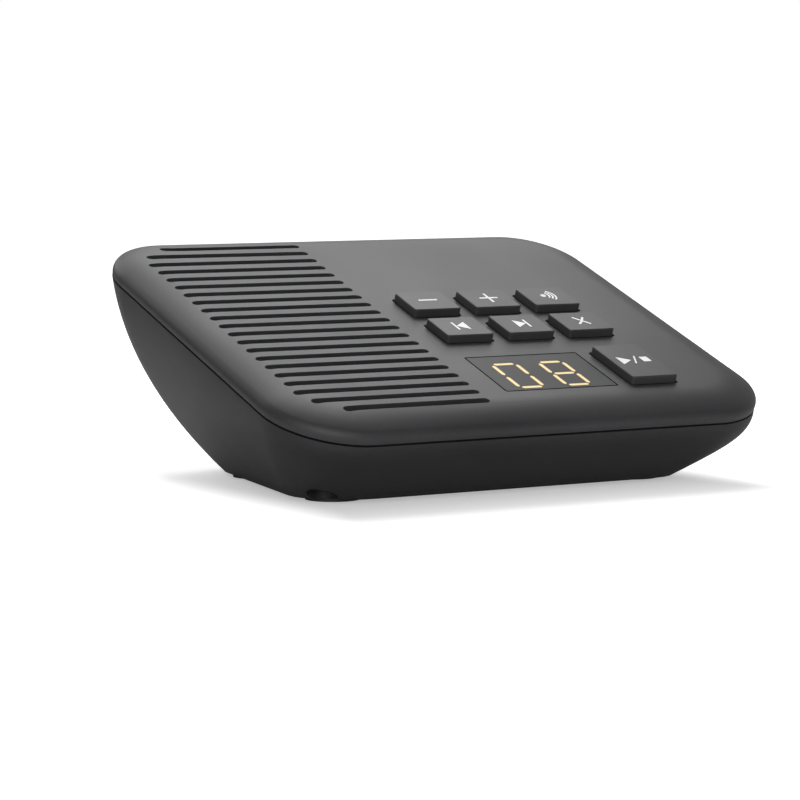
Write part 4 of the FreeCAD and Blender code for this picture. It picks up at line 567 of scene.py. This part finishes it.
# The key signs: volume down and up, paging, skip back and forward, delete, and play or stop.
# First the widths of their strokes, then the dot and arcs of the paging sign.
MINUS, PLUS, SIDE, SLASH, WAVE = 0.62, 0.6, 0.55, 0.4, 0.42
WAVE_MIDDLE, WAVE_DOT, WAVE_RADII, WAVE_SPREAD = (-1.15, 0.35), 0.72, (1.6, 2.45, 3.3), 50
SYMBOLS = {
    "minus_key": [stroke((-2.45, 0.3), (2.65, 0.3), MINUS)],
    "plus_key": [stroke((-2.45, 0.25), (2.6, 0.25), PLUS),
                 stroke((0.1, 0.6), (0.1, 2.75), PLUS),
                 stroke((0.1, -0.1), (0.1, -2.25), PLUS)],
    "paging_key": [disc(WAVE_MIDDLE, WAVE_DOT)] + [
        arc_stroke(WAVE_MIDDLE, radius, WAVE, WAVE_SPREAD) for radius in WAVE_RADII],
    "skip_back_key": [stroke((-1.35, 2.1), (-1.35, -2.0), SIDE),
                      [(1.85, 2.15), (1.85, -1.95), (-1.0, 0.1)]],
    "skip_forward_key": [[(-1.7, 2.0), (-1.7, -2.0), (1.15, 0.0)],
                         stroke((1.45, 2.0), (1.45, -2.0), SIDE)],
    "delete_key": [stroke((-1.4, 2.15), (1.6, -1.85), SIDE),
                   stroke((1.6, 2.05), (0.3, 0.32), SIDE),
                   stroke((-0.15, -0.28), (-1.6, -1.75), SIDE)],
    "play_stop_key": [[(-4.15, 2.15), (-4.15, -1.85), (-0.95, 0.15)],
                      stroke((1.2, 2.3), (-0.65, -1.65), SLASH),
                      [(2.15, 1.65), (4.3, 1.65), (4.3, -0.9), (2.15, -0.9)]],
}
PRINT_LIFT = 0.002
for key, outlines in SYMBOLS.items():
    piece_name = key.replace("_key", "_symbol")
    printed(piece_name, outlines, KEY_MIDDLES[key], KEY_PROUD + PRINT_LIFT,
            key.replace("_key", "_button"), PRINT_INK_PAINTED_GLOW)

# The window is one smooth slab, with its edges softened. A flat dull black ring in the joint
# round it is painted shade.
WINDOW_MIDDLE, WINDOW_HALF, WINDOW_CORNER, WINDOW_THICK = (9.0, -32.25), (15.2, 9.25), 0.2, 1.4
WINDOW_EDGE, WINDOW_EDGE_STEPS = 0.05, 2
WINDOW_SHADE_OUTER, WINDOW_SHADE_OUTER_CORNER = (15.48, 9.52), 0.5
WINDOW_SHADE_INNER, WINDOW_SHADE_INNER_CORNER = (15.12, 9.15), 0.2
EDGE_LOW, GAP_SHADE_TOP = -0.2, 0.012
window = printed("window_slab", [rounded_box(*WINDOW_HALF, [WINDOW_CORNER] * 4)], WINDOW_MIDDLE,
                 -WINDOW_THICK, "case", WINDOW_PLASTIC, thick=WINDOW_THICK)
edge = window.modifiers.new("softened_edge", "BEVEL")
edge.width = WINDOW_EDGE * MM
edge.segments = WINDOW_EDGE_STEPS
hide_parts("display_window")
rings("window_gap_shade", [(moved(rounded_box(*WINDOW_SHADE_OUTER, [WINDOW_SHADE_OUTER_CORNER] * 4), WINDOW_MIDDLE),
                       moved(rounded_box(*WINDOW_SHADE_INNER, [WINDOW_SHADE_INNER_CORNER] * 4), WINDOW_MIDDLE))],
      EDGE_LOW, GAP_SHADE_TOP, GAP_SHADE_BLACK)

# The lit number. Each bar runs between two of a digit's six corners, given here as halves of
# its width and height. A wider dull bar under each bright one is the light's soft edge.
DIGIT_MIDDLES = ((1.6, -33.7), (14.4, -33.7))
DIGIT_HALF, DIGIT_TALL = 3.25, 6.3
BAR_THICK = 0.008
BARS = {
    "top": ((-1, 1), (1, 1)), "upper_left": ((-1, 1), (-1, 0)), "upper_right": ((1, 1), (1, 0)),
    "middle": ((-1, 0), (1, 0)), "lower_left": ((-1, 0), (-1, -1)),
    "lower_right": ((1, 0), (1, -1)), "bottom": ((-1, -1), (1, -1)),
}
SHOWN = (("top", "upper_left", "upper_right", "lower_left", "lower_right", "bottom"),
         tuple(BARS))


def bar_outline(digit, bar, width, trim):
    """A bar with pointed ends, kept this far from the corners where bars meet."""
    start, end = (Vector((digit[0] + across * DIGIT_HALF, digit[1] + along * DIGIT_TALL))
                  for across, along in BARS[bar])
    along = (end - start).normalized()
    side = Vector((-along.y, along.x)) * width / 2
    start, end = start + along * trim, end - along * trim
    inner, outer = start + along * width * 0.5, end - along * width * 0.5
    return [tuple(c) for c in (start, inner - side, outer - side, end, outer + side,
                               inner + side)]


for name, width, trim, height, material in (
        ("lit_bar_edges", 1.24, 0.4, 0.004, LIT_FRINGE),
        ("lit_bars", 0.86, 0.5, 0.012, LIT_BAR)):
    bars = [bar_outline(digit, bar, width, trim)
            for digit, shown in zip(DIGIT_MIDDLES, SHOWN) for bar in shown]
    shine = printed(name, bars, (0, 0), height, "case", material, thick=BAR_THICK)
    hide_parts("display_digits")

# Round the opening that each key rises through lies a flat dull black ring, painted shade for the
# gap. Each ring lies between two outlines that stand this far off the key, with these corners.
KEY_HALF_U, KEY_HALF_V, LONG_KEY_HALF_V = 6.35, 5.1, 8.95
OPENING_RINGS, OPENING_TOP = ((0.48, 0.9), (0.26, 0.7)), 0.01
rings("key_gap_shade", [
    [moved(rounded_box(KEY_HALF_U + gap, half_v + gap, [corner] * 4), KEY_MIDDLES[key])
     for gap, corner in OPENING_RINGS]
    for key, half_v in ((key, LONG_KEY_HALF_V if key == "play_stop_key" else KEY_HALF_V)
                        for key in KEY_MIDDLES)],
      EDGE_LOW, OPENING_TOP, GAP_SHADE_BLACK)

# The shell's tongue stands close behind the joint, so that no light comes through it. It is dull
# black, painted shade in the joint. It has the widest edge's outline, inset, with the corners
# that show.
TONGUE_INSETS, TONGUE_BELOW, TONGUE_ABOVE, TONGUE_STEPS = (1.0, 2.2), 0.3, 0.25, 16
SEEN_RIM = [SEEN_BASE["rear_rim"]] * 2 + [SEEN_BASE["front_rim"]] * 2
rings("joint_tongue", [[rounded_box(RIM_HALF, RIM_REACH, SEEN_RIM, inset, TONGUE_STEPS)
                        for inset in TONGUE_INSETS]], SHELL_TOP_N - TONGUE_BELOW,
      PARTING_N + TONGUE_ABOVE, GAP_SHADE_BLACK)

# The way that the camera looks, level with the floor, and its right.
AHEAD = Vector((0.5306, 0.8476, 0))
RIGHT = Vector((0.8476, -0.5306, 0))
UP = Vector((0, 0, 1))

# The camera was fitted to the photograph together with the machine's shape.
CAMERA_PLACE = (-0.3982, -0.6369, 0.08645)
CAMERA_TURN = (90 - 5.047, 0, -32.047)
CAMERA_LENS, CAMERA_SHIFT = 143.7, (-0.0458, -0.0084)
CLIP_NEAR, CLIP_FAR = 0.05, 50

# The room is dark but for soft lobes of light: from behind the machine, from behind it at the
# right, and from behind the camera. Each has a direction and a level. The softboxes have a
# place and watts, and face a point this high over the middle of the floor.
LOBE_WIDTH = 8.0
LOBES = (
    (AHEAD * 0.978 + UP * 0.208, 0.24),
    ((AHEAD + RIGHT) * 0.692 + UP * 0.208, 0.5),
    (UP * 0.259 - AHEAD * 0.966, 2.7),
)
SOFTBOXES = (
    ("softbox_above", AHEAD * 0.25 + UP * 0.5, 0.834),
    ("softbox_behind", AHEAD * 0.35 + UP * 0.35, 0.493),
    ("softbox_left", AHEAD * 0.25 - RIGHT * 0.3 + UP * 0.3, 0.551),
)
SOFTBOX_SIDE, SOFTBOX_AIM = 0.3, 0.03

# The floor's half side, and the glow that keeps it white, which is dim close to the machine and
# grows to full over these distances from its base: the dim part is a painted shadow round the
# base. For each axis: the middle and half size of the base, and a factor on the distance.
FLOOR_HALF = 6.0
PAINTED_SHADOW_EDGES = (("X", 0.0, 46.0, 2.5), ("Y", 7.0, 40.0, 1.0))
PAINTED_SHADOW_FROM, PAINTED_SHADOW_TO, PAINTED_SHADOW_GLOW, GLOW_FULL = 5.0, 60.0, 0.42, 1.0
WHITE = "#ffffff"


def photograph_camera():
    """The photograph's camera."""
    scene = bpy.context.scene
    camera = bpy.data.objects.new("camera", bpy.data.cameras.new("camera"))
    scene.collection.objects.link(camera)
    scene.camera = camera
    camera.location = CAMERA_PLACE
    camera.rotation_euler = Euler([math.radians(turn) for turn in CAMERA_TURN])
    camera.data.lens = CAMERA_LENS
    camera.data.shift_x, camera.data.shift_y = CAMERA_SHIFT
    camera.data.clip_start = CLIP_NEAR
    camera.data.clip_end = CLIP_FAR


def studio_light():
    """Soft lobes of light all round that the camera sees as white, and three softboxes."""
    scene = bpy.context.scene
    world = bpy.data.worlds.new("studio")
    scene.world = world
    world.use_nodes = True
    tree = world.node_tree
    tree.nodes.clear()
    heading = add(tree, "ShaderNodeTexCoord").outputs["Generated"]
    total = None
    for toward, level in LOBES:
        near = add(tree, "ShaderNodeVectorMath", {"operation": "DOT_PRODUCT"}, {
            0: heading, 1: toward})
        spread = add(tree, "ShaderNodeMath", {"operation": "MULTIPLY_ADD"}, {
            0: near.outputs["Value"], 1: LOBE_WIDTH, 2: -LOBE_WIDTH + math.log(level)})
        lobe = add(tree, "ShaderNodeMath", {"operation": "EXPONENT"}, {
            0: spread.outputs[0]}).outputs[0]
        total = lobe if total is None else add(tree, "ShaderNodeMath", {"operation": "ADD"}, {
            0: total, 1: lobe}).outputs[0]
    soft = add(tree, "ShaderNodeBackground", sockets={"Color": linear(WHITE), "Strength": total})
    white = add(tree, "ShaderNodeBackground", sockets={"Color": linear(WHITE), "Strength": 1.0})
    mixed = add(tree, "ShaderNodeMixShader", sockets={
        0: seen_directly(tree), 1: soft.outputs[0], 2: white.outputs[0]})
    add(tree, "ShaderNodeOutputWorld", sockets={"Surface": mixed.outputs[0]})

    for name, place, watts in SOFTBOXES:
        data = bpy.data.lights.new(name, "AREA")
        data.size = SOFTBOX_SIDE
        data.energy = watts
        lamp = bpy.data.objects.new(name, data)
        scene.collection.objects.link(lamp)
        lamp.location = place
        lamp.rotation_mode = "QUATERNION"
        lamp.rotation_quaternion = (place - UP * SOFTBOX_AIM).to_track_quat("Z", "Y")
        lamp.visible_camera = False


def studio_floor():
    """A white sweep. It glows for rays straight from the camera, so that it shows as white, and
    it lights nothing by that. Close to the machine the glow is dimmed: a painted shadow that
    joins the paper's own soft shadow."""
    material, tree, place = blank("white_sweep_painted_shadow")
    paper = add(tree, "ShaderNodeBsdfDiffuse", sockets={"Color": linear("#f4f4f4")})
    across = add(tree, "ShaderNodeSeparateXYZ", sockets={0: place})
    gaps = []
    for socket, middle, half, gain in PAINTED_SHADOW_EDGES:
        shifted = add(tree, "ShaderNodeMath", {"operation": "SUBTRACT"}, {
            0: across.outputs[socket], 1: middle * MM})
        away = add(tree, "ShaderNodeMath", {"operation": "ABSOLUTE"}, {0: shifted.outputs[0]})
        gaps.append(add(tree, "ShaderNodeMath", {"operation": "MULTIPLY_ADD"}, {
            0: away.outputs[0], 1: gain, 2: -gain * half * MM}).outputs[0])
    apart = add(tree, "ShaderNodeMath", {"operation": "MAXIMUM"}, {0: gaps[0], 1: gaps[1]})
    # Painted shadow: the glow is dim near the base and full farther off.
    lift = add(tree, "ShaderNodeMapRange", {"interpolation_type": "SMOOTHSTEP"}, {
        "Value": apart.outputs[0], "From Min": PAINTED_SHADOW_FROM * MM, "From Max": PAINTED_SHADOW_TO * MM,
        "To Min": PAINTED_SHADOW_GLOW, "To Max": GLOW_FULL})
    glow = add(tree, "ShaderNodeEmission", sockets={
        "Color": linear(WHITE), "Strength": lift.outputs["Result"]})
    glow_and_painted_shadow = add(tree, "ShaderNodeAddShader", sockets={0: paper.outputs[0], 1: glow.outputs[0]})
    mixed = add(tree, "ShaderNodeMixShader", sockets={
        0: seen_directly(tree), 1: paper.outputs[0], 2: glow_and_painted_shadow.outputs[0]})
    finished(material, mixed.outputs[0])
    mesh = bpy.data.meshes.new("floor")
    mesh.from_pydata([(across * FLOOR_HALF, along * FLOOR_HALF, 0)
                      for across, along in ((-1, -1), (1, -1), (1, 1), (-1, 1))],
                     [], [(0, 1, 2, 3)])
    mesh.materials.append(material)
    floor = bpy.data.objects.new("floor", mesh)
    bpy.context.scene.collection.objects.link(floor)


photograph_camera()
studio_light()
studio_floor()
bpy.context.scene.view_settings.view_transform = "Standard"
